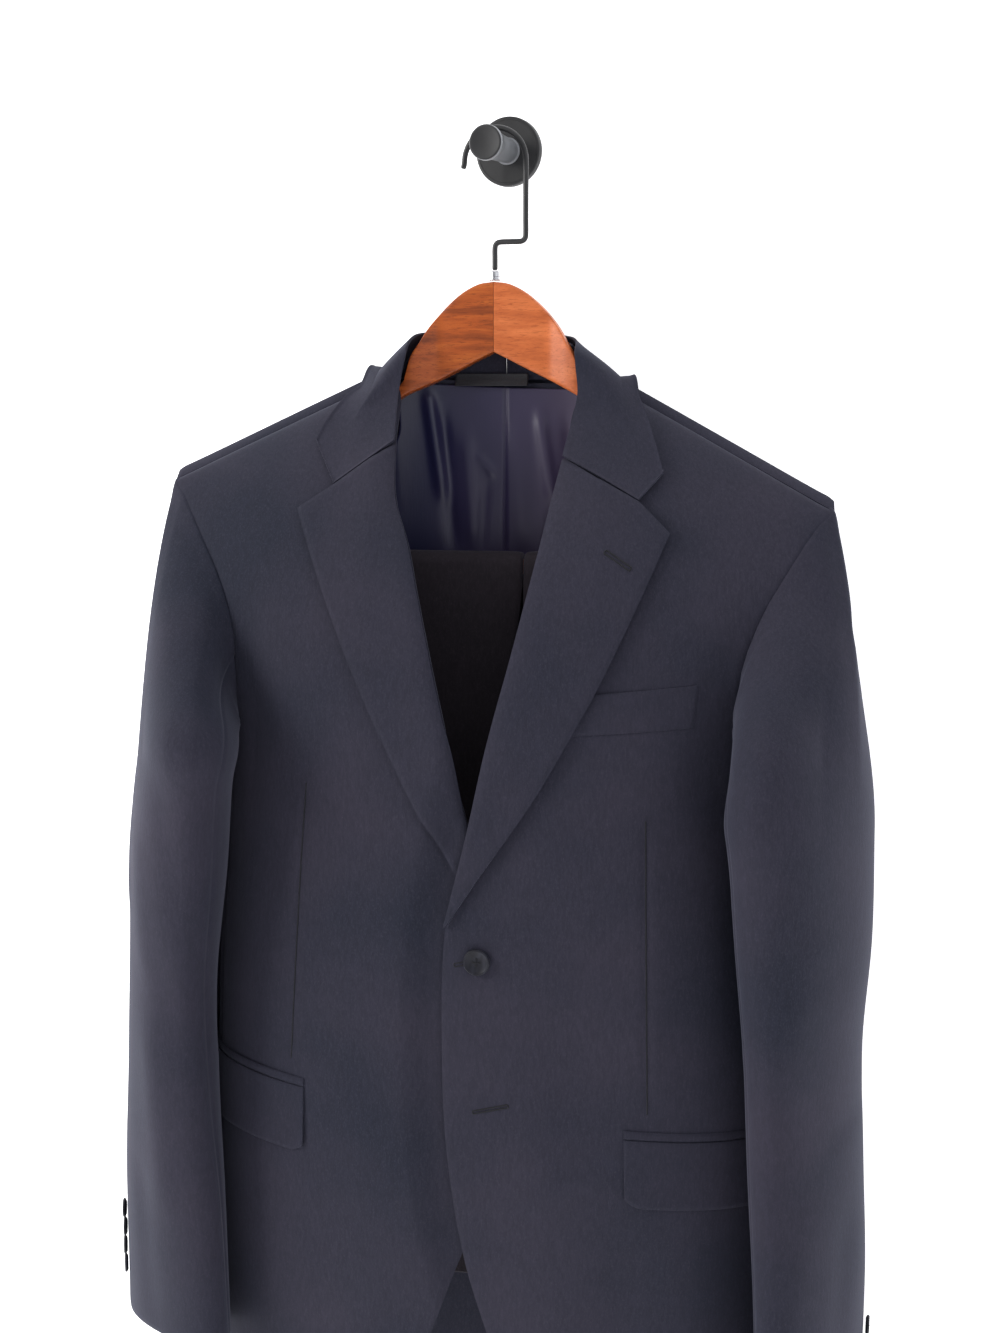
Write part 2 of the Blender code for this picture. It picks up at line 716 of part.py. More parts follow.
HIND_SEAM = 152.0
FORE_SEAM = -28.0


def build_sleeves(side):
    cloth, letter = cloth_finish(), "L" if side > 0 else "R"
    gap = 0.35
    rows = [0, 0.025, 0.055, 0.09, 0.14, 0.2, 0.27, CAP_SHARE] + [
        lerp(CAP_SHARE, 1, (n + 1) / 9) for n in range(9)]
    spans = (("top_sleeve_", FORE_SEAM + gap, HIND_SEAM - gap, 11),
             ("under_sleeve_", HIND_SEAM + gap, FORE_SEAM + 360 - gap, 10))
    for name, low, high, count in spans:
        point, normal = sleeve_patch(side, low, high)
        peak = [(TOP_ANGLE - low) / (high - low)] if low < TOP_ANGLE < high else []

        def inner(u, v, point=point, normal=normal):
            return tuple(Vector(point(u, v)) - normal(u, v) * CLOTH)
        wall(name + letter, point, inner, spread(count, *peak), rows, cloth)


def build_sleeve_buttons(side):
    letter = "L" if side > 0 else "R"
    for number, level in enumerate(CUFF_BUTTONS, 1):
        angle = HIND_SEAM - 12
        here = sleeve_ring(side, level, angle)
        across = sleeve_ring(side, level, angle + 2) - sleeve_ring(side, level, angle - 2)
        up = sleeve_ring(side, level + 4, angle) - sleeve_ring(side, level - 4, angle)
        out = across.cross(up).normalized() * side
        if (here - Vector((side * 239, -112, here.z))).dot(out) < 0:
            out = -out
        r, t = CUFF_BUTTON_DIAMETER / 2, CUFF_BUTTON_THICK
        turned(f"cuff_button_{letter}{number}",
               [(0, 0), (r - 1.6, 0), (r, t * 0.5), (r - 0.8, t), (0, t)],
               here + out * (LAY_GAP + 0.5 + 0.25 * (number % 2)), out, button_finish(), 14)


# ---- collar, lapels, pockets -------------------------------------------------------------------
LAPEL_OUT = {
    1: ((107, -246), (129, -266), (112, -308), (85, -368), (66, -404), (42, -448), (6, -504), (-17.2, -541)),
    -1: ((109, -245), (134, -262), (109, -319), (92, -356), (72, -397), (42, -456), (9, -510), (-1.2, -528)),
}
LAPEL_END = {1: (-18.6, -541.5), -1: (-3.4, -529)}
GORGE = {1: (52.6, -219), -1: (67.4, -214)}


def lapel_patch(side):
    notch, tip, *outside = LAPEL_OUT[side]
    start, end = GORGE[side], LAPEL_END[side]
    roll = [p for p in (EDGE_LEFT if side > 0 else EDGE_RIGHT) if end[1] + 4 < p[1] < start[1] - 4]
    inner = Line(start, *roll, end)
    outer = Line(tip, *outside)
    top = Line(start, notch, tip, curved=False)
    bottom = Line(end, outside[-1], curved=False)

    def point(u, v):
        return front_base(side, *patch(top, bottom, inner, outer, u, v))

    def lift(u, v):
        roll_share = u / 0.2 * exp(1 - u / 0.2)
        return LAPEL_LIFT + LAPEL_ROLL * roll_share * smooth((1 - v) * 3)
    return point, lift


def build_lapel(side):
    point, lift = lapel_patch(side)
    panel("lapel_" + side_name(side), shrink(point, top=0.5), side, [0, 0.08, 0.2, 0.4, 0.7, 1.0], spread(13),
          cloth_finish(), CLOTH, lift)


COLLAR_TIP = {1: (123, -227), -1: (128, -215)}
COLLAR_OUT = {1: ((108, -188), (116, -207)), -1: ((111, -183), (122, -200))}
COLLAR_NECK = {1: 54.0, -1: 63.0}       # half width of the collar's top at the sides of the neck
COLLAR_TOP = -129.0
COLLAR_LOW = -177.0


def on_front(side, x, z, lift):
    """A point above the front, moved out from it."""
    x, y, z = front_base(side, x, z)
    return x, y - 0.85 * lift, z + 0.5 * lift


def on_back(side, x, z, lift):
    y, z = back_point(x, z)
    x, y, z = world(side, x, y, z)
    return x, y + 0.9 * lift, z + 0.4 * lift


def collar_patch(side):
    """The collar's fall on one side: u from the roll to the outer edge, v from the back to the front."""
    edge_points = EDGE_LEFT if side > 0 else EDGE_RIGHT
    neck, gorge = COLLAR_NECK[side], GORGE[side]
    notch, tip = LAPEL_OUT[side][0], COLLAR_TIP[side]
    roll = Line(
        world(side, 0.15, -14.5, COLLAR_TOP), world(side, neck * 0.45, -15.6, COLLAR_TOP),
        world(side, neck * 0.84, -22.5, COLLAR_TOP - 3), world(side, neck, -38, COLLAR_TOP - 7),
        world(side, neck + 2, -55, COLLAR_TOP - 16),
        on_front(side, *edge_points[0], 7), on_front(side, *gorge, 5))
    edge = Line(
        on_back(side, 0.15, COLLAR_LOW, 4.0), on_back(side, 36, COLLAR_LOW - 1, 5.0),
        on_back(side, 68, COLLAR_LOW - 6, 7.0), on_back(side, 88, COLLAR_LOW - 9, 8.0),
        world(side, 96.5, seam_y(97) + 7, seam_z(97) + RIDGE_RISE + 6.5),
        on_front(side, 101, -176, 5.0), *[on_front(side, x, z, 3.2) for x, z in COLLAR_OUT[side]],
        on_front(side, *tip, 2.8))
    edge.bend = (0.43, edge.share(4))
    middle = Line(roll.at(0), edge.at(0), curved=False)
    front = Line(roll.at(1), on_front(side, *notch, 2.8), edge.at(1), curved=False)

    def point(u, v):
        place = Vector(patch(middle, front, roll, edge, u, v))
        bulge = 2.0 * sin(pi * u) * (1 - smooth((v - 0.7) * 4))
        forward = smooth((v - 0.3) * 4)
        return tuple(place + Vector((side * 0.3, 0.7 - 1.3 * forward, 0.6)).normalized() * bulge)
    return point, front.share(1)


def build_collar(side):
    point, notch = collar_patch(side)
    panel("collar_fall_" + side_name(side), shrink(point, bottom=0.5), -side,
          [0, 0.12, 0.35, notch, 0.8, 1.0], spread(16), cloth_finish(), CLOTH)

    def stand(u, v):
        """The band inside the neck, from just under the roll to the neck seam."""
        t = v * 0.38
        turn = smooth(t / 0.34)
        inward = Vector((-side * turn, -1 + turn, 0)).normalized() * 2.7
        top = Vector(point(0, t)) + inward + Vector((side * 0.3, 0, -3.5))
        neck_x = max((NECK_X - 3) * v ** 0.95, 0.5)
        low_y, low_z = back_top(neck_x)
        low = Vector(world(side, neck_x, low_y - 1.2, low_z + 2.6))
        return tuple(top.lerp(low, u))
    panel("collar_stand_" + side_name(side), stand, -side, spread(3), spread(9), cloth_finish(), 1.2)


def body_band(side, angle_in, angle_out, top, bottom):
    """A patch round the body between two angles of its section."""
    def point(u, v):
        z = lerp(top, bottom, v)
        x, y = section(z, lerp(angle_in, angle_out, u))
        return world(side, x, y, z)
    return point


def angle_at(x, z):
    return degrees(asin(min(x / BODY.value(z, "half"), 1.0) ** (FRONT_ROUND / 2)))


POCKET_IN = {1: 107.0, -1: 124.0}
POCKET_OUT_ANGLE = 88.0
JET_TOP = -672.0
FLAP_TOP = -678.6
FLAP_BOTTOM = -728.0


def build_pocket(side):
    start = angle_at(POCKET_IN[side], FLAP_TOP)
    jet = body_band(side, start, POCKET_OUT_ANGLE, JET_TOP, FLAP_TOP + 0.4)
    flap_form = body_band(side, start, POCKET_OUT_ANGLE, FLAP_TOP, FLAP_BOTTOM)

    def flap(u, v):
        """The front corner is rounded and the outer one is square."""
        corner = max(0.0, 1 - u / 0.07) ** 2
        return flap_form(u, v * (1 - 0.12 * corner))
    letter = "L" if side > 0 else "R"
    panel("pocket_jet_" + letter, jet, side, spread(8), [0, 1], cloth_finish(), 0.9, LAY_GAP + 0.4)
    panel("pocket_flap_" + letter, flap, side, [0, 0.02, 0.05, 0.1, 0.25, 0.4, 0.55, 0.7, 0.85, 1.0], spread(3),
          cloth_finish(), 1.3, LAY_GAP + 0.2)


WELT = ((64, -374.5), (152, -362), (149, -390), (52, -402.5))


def build_welt():
    top_in, top_out, low_out, low_in = WELT
    top, bottom = Line(top_in, top_out, curved=False), Line(low_in, low_out, curved=False)
    inner, outer = Line(top_in, low_in, curved=False), Line(top_out, low_out, curved=False)

    def point(u, v):
        return front_base(1, *patch(top, bottom, inner, outer, u, v))
    panel("breast_welt", point, 1, spread(7), spread(3), cloth_finish(), 1.1, LAY_GAP)


def build_front_buttons():
    r, t = BUTTON_DIAMETER / 2, BUTTON_THICK
    profile = [(0, 0), (r - 2.2, 0), (r, t * 0.45), (r - 0.3, t * 0.8), (r - 1.4, t), (r - 2.6, t * 0.72),
               (0, t * 0.72)]
    x, z = UPPER_BUTTON
    here = Vector(world(1, x, front_y(x, z), z))
    turned("button_upper", profile, here + Vector((0, -0.5, 0)), (0, -1, 0), button_finish(), 24)
    x, z = LOWER_BUTTON
    here = Vector(world(1, x, front_y(x, z) + OVERLAP_PUSH, z))
    thin = [(radius, along * 0.8) for radius, along in profile]
    turned("button_lower", thin, here + Vector((0, -0.5, 0)), (0, -1, 0), button_finish(), 20)


# ---- inside the neck ---------------------------------------------------------------------------
LINING_LOW = -430.0
LINING_STAND = 3.0          # inside the back panel


def build_lining(side):
    def point(u, v):
        x = lerp(0.2, lerp(60, 150, smooth((v - 0.12) * 2.6)), u)
        z = lerp(back_top(x)[1] - 4, LINING_LOW, v)
        y, _ = back_point(x, z)
        return world(side, x, y - CLOTH - lerp(1.2, LINING_STAND, smooth(v * 3)), z)
    panel("lining_" + side_name(side), point, -side, spread(6), spread(9), lining_finish(), 0.8)


LABEL = {"left": -37.0, "right": 17.0, "top": -151.0, "bottom": -169.0}


def build_label():
    def point(u, v):
        x = lerp(LABEL["left"], LABEL["right"], u)
        z = lerp(LABEL["top"], LABEL["bottom"], v)
        y = back_point(x, min(z, NECK_BACK_Z))[0]
        return x, y - CLOTH - 1.6 - 2.2 * (x / NECK_X) ** 2 - 4.6 * v * v, z
    panel("neck_label", point, -1, spread(6), spread(3), material("label_black", (0.03, 0.03, 0.033), 0.7), 0.5)


# ---- trousers over the bar ---------------------------------------------------------------------
LEG_THICK = 4.4             # two pressed layers
LEG_FRONT_END = -806.0
LEG_BACK_END = -812.0
RIGHT_LEG = Table("z inner outer", (-286, 20, -178), (-350, 16, -175), (-400, 8.5, -172), (-470, -1, -170),
                  (-560, -12, -168), (-806, -30, -160))
LEFT_LEG = Table("z inner outer", (-286, 20.8, 168), (-470, 21, 166), (-806, 24, 160))


def build_leg(name, table):
    """A pressed leg hung over the bar: its path goes up the front, over the bar and down the back."""
    ride = BAR_DIAMETER / 2 + 0.4
    y0 = BAR_Y
    over = [(y0 - (ride + LEG_THICK) * cos(a), BAR_LEVEL + (ride + LEG_THICK) * sin(a))
            for a in [radians(n) for n in range(0, 181, 30)]]
    front = [(y0 - ride - LEG_THICK - 6 * smooth((BAR_LEVEL - z) / 250), z)
             for z in (LEG_FRONT_END, -680, -560, -440, -340)]
    back = [(y0 + ride + LEG_THICK - 4 * smooth((BAR_LEVEL - z) / 200), z)
            for z in (-340, -470, -640, LEG_BACK_END)]
    path = front + over + back

    def middle(v):
        n = min(int(v * (len(path) - 1) + 1e-6), len(path) - 2)
        t = v * (len(path) - 1) - n
        return tuple(lerp(a, b, t) for a, b in zip(path[n], path[n + 1]))

    def outward(v):
        step = 0.5 / (len(path) - 1)
        (y1, z1), (y2, z2) = middle(max(v - step, 0)), middle(min(v + step, 1))
        dy, dz = y2 - y1, z2 - z1
        size = hypot(dy, dz)
        return -dz / size, dy / size

    def face(depth):
        def made(u, v):
            y, z = middle(v)
            ny, nz = outward(v)
            ease = 1.2 * (1 - sqrt(max(1 - (2 * u - 1) ** 8, 0.0))) * (1 if depth == 0 else -1)
            inner, outer = table.value(z, "inner"), table.value(z, "outer")
            return lerp(inner, outer, u), y - ny * (depth + ease), z - nz * (depth + ease)
        return made
    wall(name, face(0.0), face(LEG_THICK), [0, 0.03, 0.5, 0.97, 1.0],
         spread(len(path) - 1), trouser_finish())


def build_waistband():
    y = BAR_Y + BAR_DIAMETER / 2 + 0.4 + LEG_THICK - 4

    def outer(u, v):
        return lerp(-150, 158, u), y, LEG_BACK_END - 0.4 - 38 * v

    def inner(u, v):
        return lerp(-150, 158, u), y - LEG_THICK, LEG_BACK_END - 0.4 - 38 * v
    wall("trouser_waistband", outer, inner, spread(6), [0, 1], trouser_finish())


def main():
    for old in list(bpy.data.objects):
        bpy.data.objects.remove(old)
    build_peg()
    build_hook()
    build_hanger()
    for side in (1, -1):
        build_body(side)
        build_sleeves(side)
        build_sleeve_buttons(side)
        build_lapel(side)
        build_collar(side)
        build_pocket(side)
        build_lining(side)
    build_welt()
    build_front_buttons()
    build_label()
    build_leg("trouser_leg_right", RIGHT_LEG)
    build_leg("trouser_leg_left", LEFT_LEG)
    build_waistband()


main()
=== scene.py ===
import json
from math import asin, cos, degrees, exp, hypot, pi, radians, sin, sqrt

import bmesh
import bpy
import numpy as np
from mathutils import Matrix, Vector, noise
from mathutils.bvhtree import BVHTree

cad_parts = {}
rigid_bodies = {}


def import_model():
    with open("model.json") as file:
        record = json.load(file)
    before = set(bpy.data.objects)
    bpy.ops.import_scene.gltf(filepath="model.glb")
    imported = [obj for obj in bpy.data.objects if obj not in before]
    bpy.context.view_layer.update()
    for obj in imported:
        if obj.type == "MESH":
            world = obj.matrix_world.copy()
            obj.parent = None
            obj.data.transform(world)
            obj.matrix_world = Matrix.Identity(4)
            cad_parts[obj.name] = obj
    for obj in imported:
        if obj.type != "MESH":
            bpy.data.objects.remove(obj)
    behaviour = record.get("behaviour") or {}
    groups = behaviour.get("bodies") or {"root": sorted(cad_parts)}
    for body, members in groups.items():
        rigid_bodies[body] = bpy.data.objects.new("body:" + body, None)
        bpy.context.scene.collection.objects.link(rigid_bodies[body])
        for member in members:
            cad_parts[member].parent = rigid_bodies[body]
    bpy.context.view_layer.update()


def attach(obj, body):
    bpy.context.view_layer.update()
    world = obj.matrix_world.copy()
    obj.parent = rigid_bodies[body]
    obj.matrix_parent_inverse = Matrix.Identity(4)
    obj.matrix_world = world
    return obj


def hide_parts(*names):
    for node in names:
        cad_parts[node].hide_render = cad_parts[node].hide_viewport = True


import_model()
mm = 0.001      # every size below is in millimetres

suit = {
    "wall": 1.6, "layGap": 0.4,
    "neckX": 80.0, "tipX": 240.0, "ridgeZ": -157.5, "slope": 0.51, "ridgeRise": 7.4,
    "spineY": -62.0, "chestZ": -400.0, "bladeZ": -360.0, "neckBackZ": -166.0, "neckBackY": -16.0,
    "underarmZ": -428.0, "hemZ": -925.0, "frontRound": 2.4, "sideSeam": 0.95, "backSeam": 0.90,
    "overlapPush": 7.0, "tuck": 0.25, "frontSeamTop": -415, "backSeamTop": -410,
}


# camera, light and wall
shot = {
    "place": (0.22677, -1.26523, -0.19037), "tilt": 8.4, "turn": 10.5, "lens": 45.91, "sensor": 36.0,
    "background": (0.93, 0.95, 1.0), "backgroundLight": 0.45,
}
lamps = [
    {"name": "windowLight", "place": (-2.0, -1.1, 0.45), "aim": (0.0, -0.1, -0.55), "size": 1.2, "watts": 50,
     "colour": (1.0, 0.985, 0.96)},
    {"name": "roomLight", "place": (1.5, -1.7, 0.35), "aim": (0.05, -0.1, -0.5), "size": 1.8, "watts": 9,
     "colour": (0.95, 0.97, 1.0)},
    {"name": "ceilingLight", "place": (0.1, -0.75, 1.25), "aim": (0.0, -0.1, -0.3), "size": 1.4, "watts": 7,
     "colour": (1.0, 1.0, 1.0)},
]


def addCamera():
    data = bpy.data.cameras.new("camera")
    data.sensor_width = shot["sensor"]
    data.lens = shot["lens"]
    camera = bpy.data.objects.new("camera", data)
    bpy.context.collection.objects.link(camera)
    camera.location = shot["place"]
    camera.rotation_euler = (radians(90 - shot["tilt"]), 0, radians(shot["turn"]))
    bpy.context.scene.camera = camera


def addLights():
    for lamp in lamps:
        data = bpy.data.lights.new(lamp["name"], "AREA")
        data.energy = lamp["watts"]
        data.size = lamp["size"]
        data.color = lamp["colour"]
        obj = bpy.data.objects.new(lamp["name"], data)
        bpy.context.collection.objects.link(obj)
        obj.location = lamp["place"]
        obj.rotation_euler = (Vector(lamp["aim"]) - obj.location).to_track_quat("-Z", "Y").to_euler()
    world = bpy.data.worlds.new("room")
    world.use_nodes = True
    sky = world.node_tree.nodes["Background"]
    sky.inputs["Color"].default_value = (*shot["background"], 1)
    sky.inputs["Strength"].default_value = shot["backgroundLight"]
    bpy.context.scene.world = world
    bpy.context.scene.view_settings.view_transform = "Standard"


# node materials
def newMaterial(name):
    made = bpy.data.materials.new(name)
    made.use_nodes = True
    tree = made.node_tree
    return made, tree, tree.links, tree.nodes["Principled BSDF"]


def addNode(tree, kind, **values):
    node = tree.nodes.new(kind)
    for key, value in values.items():
        if hasattr(node, key):
            setattr(node, key, value)
        else:
            node.inputs[key.replace("_", " ")].default_value = value
    return node


def place(tree, scale=(1, 1, 1), turn=(0, 0, 0)):
    # the object's own metres, turned and stretched
    where = tree.nodes.new("ShaderNodeTexCoord")
    mapping = tree.nodes.new("ShaderNodeMapping")
    mapping.inputs["Scale"].default_value = scale
    mapping.inputs["Rotation"].default_value = [radians(a) for a in turn]
    tree.links.new(where.outputs["Object"], mapping.inputs["Vector"])
    return mapping.outputs["Vector"]


def ramp(tree, source, stops):
    node = tree.nodes.new("ShaderNodeValToRGB")
    node.color_ramp.elements[0].position = stops[0][0]
    node.color_ramp.elements[0].color = (*stops[0][1], 1)
    node.color_ramp.elements[1].position = stops[-1][0]
    node.color_ramp.elements[1].color = (*stops[-1][1], 1)
    for position, colour in stops[1:-1]:
        element = node.color_ramp.elements.new(position)
        element.color = (*colour, 1)
    tree.links.new(source, node.inputs["Fac"])
    return node.outputs["Color"]


def blendColours(tree, share, first, second, kind="MIX"):
    node = tree.nodes.new("ShaderNodeMix")
    node.data_type = "RGBA"
    node.blend_type = kind
    if isinstance(share, float):
        node.inputs[0].default_value = share
    else:
        tree.links.new(share, node.inputs[0])
    for value, socket in ((first, node.inputs[6]), (second, node.inputs[7])):
        if isinstance(value, tuple):
            socket.default_value = (*value, 1)
        else:
            tree.links.new(value, socket)
    return node.outputs[2]


def bump(tree, heights, shader, distance):
    # several heights, each with its strength, one after another
    last = None
    for height, strength in heights:
        node = tree.nodes.new("ShaderNodeBump")
        node.inputs["Strength"].default_value = strength
        node.inputs["Distance"].default_value = distance
        tree.links.new(height, node.inputs["Height"])
        if last:
            tree.links.new(last, node.inputs["Normal"])
        last = node.outputs["Normal"]
    tree.links.new(last, shader.inputs["Normal"])


worstedLook = {
    "suit": {"dark": (0.0112, 0.0128, 0.0235), "light": (0.0262, 0.0232, 0.0370), "fleck": (0.044, 0.042, 0.062),
             "sheen": 0.10, "twill": 0.30},
    "trousers": {"dark": (0.0125, 0.0095, 0.0135), "light": (0.023, 0.0175, 0.023), "fleck": (0.040, 0.033, 0.041),
                 "sheen": 0.09, "twill": 0.25},
}


def worsted(name, look):
    made, tree, links, shader = newMaterial(name)
    patches = addNode(tree, "ShaderNodeTexNoise", Scale=7.0, Detail=3.0)
    links.new(place(tree), patches.inputs["Vector"])
    colour = ramp(tree, patches.outputs["Fac"], [(0.3, look["dark"]), (0.72, look["light"])])
    # mottled yarn: short lengths of paler thread
    yarn = addNode(tree, "ShaderNodeTexNoise", Scale=1050.0, Detail=2.0, Roughness=0.7)
    links.new(place(tree, (1, 1, 0.5)), yarn.inputs["Vector"])
    fleck = ramp(tree, yarn.outputs["Fac"], [(0.5, (0, 0, 0)), (0.8, (0.38, 0.38, 0.38))])
    colour = blendColours(tree, fleck, colour, look["fleck"])
    # the wale of the twill runs up to one side
    twill = addNode(tree, "ShaderNodeTexNoise", Scale=480.0, Detail=2.0, Distortion=0.4)
    links.new(place(tree, (1, 1, 0.28), (0, 52, 0)), twill.inputs["Vector"])
    tone = ramp(tree, twill.outputs["Fac"], [(0.35, (0.42, 0.42, 0.42)), (0.65, (0.58, 0.58, 0.58))])
    colour = blendColours(tree, 0.6, colour, tone, "OVERLAY")
    links.new(colour, shader.inputs["Base Color"])
    shader.inputs["Roughness"].default_value = 0.86
    shader.inputs["Specular IOR Level"].default_value = 0.22
    shader.inputs["Sheen Weight"].default_value = look["sheen"]
    shader.inputs["Sheen Roughness"].default_value = 0.42
    shader.inputs["Sheen Tint"].default_value = (0.72, 0.76, 1.0, 1)
    bump(tree, [(twill.outputs["Fac"], look["twill"]), (yarn.outputs["Fac"], 0.4)], shader, 0.00025)
    return made


def satin(name, cool, warm):
    made, tree, links, shader = newMaterial(name)
    # cooler towards the wearer's right, warmer towards the left
    drift = addNode(tree, "ShaderNodeTexNoise", Scale=11.0, Detail=2.0)
    links.new(place(tree, (1, 1, 0.5)), drift.inputs["Vector"])
    side = tree.nodes.new("ShaderNodeSeparateXYZ")
    links.new(place(tree, (9, 1, 1)), side.inputs["Vector"])
    where = addNode(tree, "ShaderNodeMath", operation="ADD")
    where.inputs[1].default_value = 0.05
    links.new(side.outputs["X"], where.inputs[0])
    both = addNode(tree, "ShaderNodeMath", operation="ADD")
    links.new(where.outputs[0], both.inputs[0])
    links.new(drift.outputs["Fac"], both.inputs[1])
    links.new(ramp(tree, both.outputs[0], [(0.1, cool), (0.95, warm)]), shader.inputs["Base Color"])
    threadAndPaintedShade = addNode(tree, "ShaderNodeTexNoise", Scale=900.0, Detail=1.0)
    links.new(place(tree, (1, 1, 0.08)), threadAndPaintedShade.inputs["Vector"])
    shader.inputs["Roughness"].default_value = 0.40
    shader.inputs["Specular IOR Level"].default_value = 0.5
    shader.inputs["Sheen Weight"].default_value = 0.25
    shader.inputs["Sheen Roughness"].default_value = 0.35
    bump(tree, [(threadAndPaintedShade.outputs["Fac"], 0.25)], shader, 0.0002)
    return made


def wood(name, dark, middle, light, grainTurn, streak):
    made, tree, links, shader = newMaterial(name)
    # growth lines run along the arm, with pores as short dark strokes
    bands = addNode(tree, "ShaderNodeTexNoise", Scale=1.0, Detail=6.0, Roughness=0.65, Distortion=0.35)
    links.new(place(tree, (14, 60, 150 * streak), (0, grainTurn, 0)), bands.inputs["Vector"])
    colour = ramp(tree, bands.outputs["Fac"], [(0.28, dark), (0.5, middle), (0.74, light)])
    pores = addNode(tree, "ShaderNodeTexNoise", Scale=1.0, Detail=3.0, Roughness=0.8)
    links.new(place(tree, (130, 700, 1150), (0, grainTurn, 0)), pores.inputs["Vector"])
    mask = ramp(tree, pores.outputs["Fac"], [(0.34, (0.75, 0.75, 0.75)), (0.47, (0, 0, 0))])
    colour = blendColours(tree, mask, colour, dark)
    cloud = addNode(tree, "ShaderNodeTexNoise", Scale=26.0, Detail=3.0)
    links.new(place(tree), cloud.inputs["Vector"])
    shade = ramp(tree, cloud.outputs["Fac"], [(0.3, (0.62, 0.6, 0.6)), (0.7, (1, 1, 1))])
    colour = blendColours(tree, 0.55, colour, shade, "MULTIPLY")
    links.new(colour, shader.inputs["Base Color"])
    shader.inputs["Roughness"].default_value = 0.42
    shader.inputs["Specular IOR Level"].default_value = 0.3
    shader.inputs["Coat Weight"].default_value = 0.12
    shader.inputs["Coat Roughness"].default_value = 0.3
    bump(tree, [(pores.outputs["Fac"], 0.3), (bands.outputs["Fac"], 0.15)], shader, 0.0002)
    return made


def paintedSteel(name, colour, rough):
    made, tree, links, shader = newMaterial(name)
    grain = addNode(tree, "ShaderNodeTexNoise", Scale=1500.0, Detail=2.0)
    links.new(place(tree), grain.inputs["Vector"])
    wear = addNode(tree, "ShaderNodeTexNoise", Scale=60.0, Detail=3.0)
    links.new(place(tree), wear.inputs["Vector"])
    paler = tuple(c * 1.5 for c in colour)
    links.new(ramp(tree, wear.outputs["Fac"], [(0.35, colour), (0.75, paler)]), shader.inputs["Base Color"])
    rougher = addNode(tree, "ShaderNodeMapRange")
    rougher.inputs["To Min"].default_value = rough - 0.06
    rougher.inputs["To Max"].default_value = rough + 0.10
    links.new(wear.outputs["Fac"], rougher.inputs["Value"])
    links.new(rougher.outputs["Result"], shader.inputs["Roughness"])
    shader.inputs["Metallic"].default_value = 0.35
    bump(tree, [(grain.outputs["Fac"], 0.25)], shader, 0.0001)
    return made


def bareSteel(name):
    made, tree, links, shader = newMaterial(name)
    turning = addNode(tree, "ShaderNodeTexNoise", Scale=1.0, Detail=2.0)
    links.new(place(tree, (30, 30, 2600)), turning.inputs["Vector"])
    tones = [(0.3, (0.42, 0.42, 0.44)), (0.7, (0.72, 0.72, 0.74))]
    links.new(ramp(tree, turning.outputs["Fac"], tones), shader.inputs["Base Color"])
    shader.inputs["Metallic"].default_value = 1.0
    shader.inputs["Roughness"].default_value = 0.28
    bump(tree, [(turning.outputs["Fac"], 0.2)], shader, 0.0001)
    return made


def horn(name):
    made, tree, links, shader = newMaterial(name)
    marble = addNode(tree, "ShaderNodeTexNoise", Scale=170.0, Detail=4.0, Distortion=1.4)
    links.new(place(tree, (1, 1, 0.4)), marble.inputs["Vector"])
    tones = [(0.35, (0.006, 0.006, 0.010)), (0.75, (0.019, 0.020, 0.030))]
    links.new(ramp(tree, marble.outputs["Fac"], tones), shader.inputs["Base Color"])
    shader.inputs["Roughness"].default_value = 0.5
    shader.inputs["Specular IOR Level"].default_value = 0.22
    bump(tree, [(marble.outputs["Fac"], 0.1)], shader, 0.0002)
    return made


def plainCloth(name, dark, light, rough):
    made, tree, links, shader = newMaterial(name)
    weave = addNode(tree, "ShaderNodeTexNoise", Scale=1100.0, Detail=2.0)
    links.new(place(tree), weave.inputs["Vector"])
    links.new(ramp(tree, weave.outputs["Fac"], [(0.3, dark), (0.7, light)]), shader.inputs["Base Color"])
    shader.inputs["Roughness"].default_value = rough
    bump(tree, [(weave.outputs["Fac"], 0.3)], shader, 0.0002)
    return made


def paleWall(name):
    # seen from behind, the wall lets the view through
    made, tree, links, shader = newMaterial(name)
    grain = addNode(tree, "ShaderNodeTexNoise", Scale=40.0, Detail=2.0)
    links.new(place(tree), grain.inputs["Vector"])
    tones = [(0.3, (0.90, 0.90, 0.91)), (0.7, (0.93, 0.93, 0.94))]
    links.new(ramp(tree, grain.outputs["Fac"], tones), shader.inputs["Base Color"])
    shader.inputs["Roughness"].default_value = 0.9
    shader.inputs["Emission Color"].default_value = (1.0, 1.0, 1.0, 1)
    shader.inputs["Emission Strength"].default_value = 0.75
    side = tree.nodes.new("ShaderNodeNewGeometry")
    clear = tree.nodes.new("ShaderNodeBsdfTransparent")
    pick = tree.nodes.new("ShaderNodeMixShader")
    links.new(side.outputs["Backfacing"], pick.inputs["Fac"])
    links.new(shader.outputs["BSDF"], pick.inputs[1])
    links.new(clear.outputs["BSDF"], pick.inputs[2])
    links.new(pick.outputs["Shader"], tree.nodes["Material Output"].inputs["Surface"])
    return made


finishes = {
    "cloth": worsted("suitWorsted", worstedLook["suit"]),
    "trousers": worsted("trouserWorsted", worstedLook["trousers"]),
    "satin": satin("liningSatin", (0.010, 0.010, 0.042), (0.044, 0.030, 0.070)),
    "woodRight": wood("woodRight", (0.15, 0.028, 0.004), (0.36, 0.072, 0.010), (0.52, 0.13, 0.020), 44, 1.0),
    "woodLeft": wood("woodLeft", (0.30, 0.062, 0.013), (0.52, 0.125, 0.032), (0.70, 0.20, 0.062), -38, 0.55),
    "black": paintedSteel("blackSteel", (0.017, 0.017, 0.018), 0.42),
    "peg": paintedSteel("pegSteel", (0.13, 0.135, 0.145), 0.36),
    "steel": bareSteel("ferruleSteel"),
    "horn": horn("buttonHorn"),
    "label": plainCloth("labelRibbon", (0.006, 0.006, 0.009), (0.015, 0.015, 0.020), 0.6),
    # dark thread for the button threads, made darker to paint the shade in button holes, along buttonholes and in darts
    "threadAndPaintedShade": plainCloth("darkThreadAndPaintedShade", (0.002, 0.002, 0.004), (0.006, 0.006, 0.010), 0.9),
}


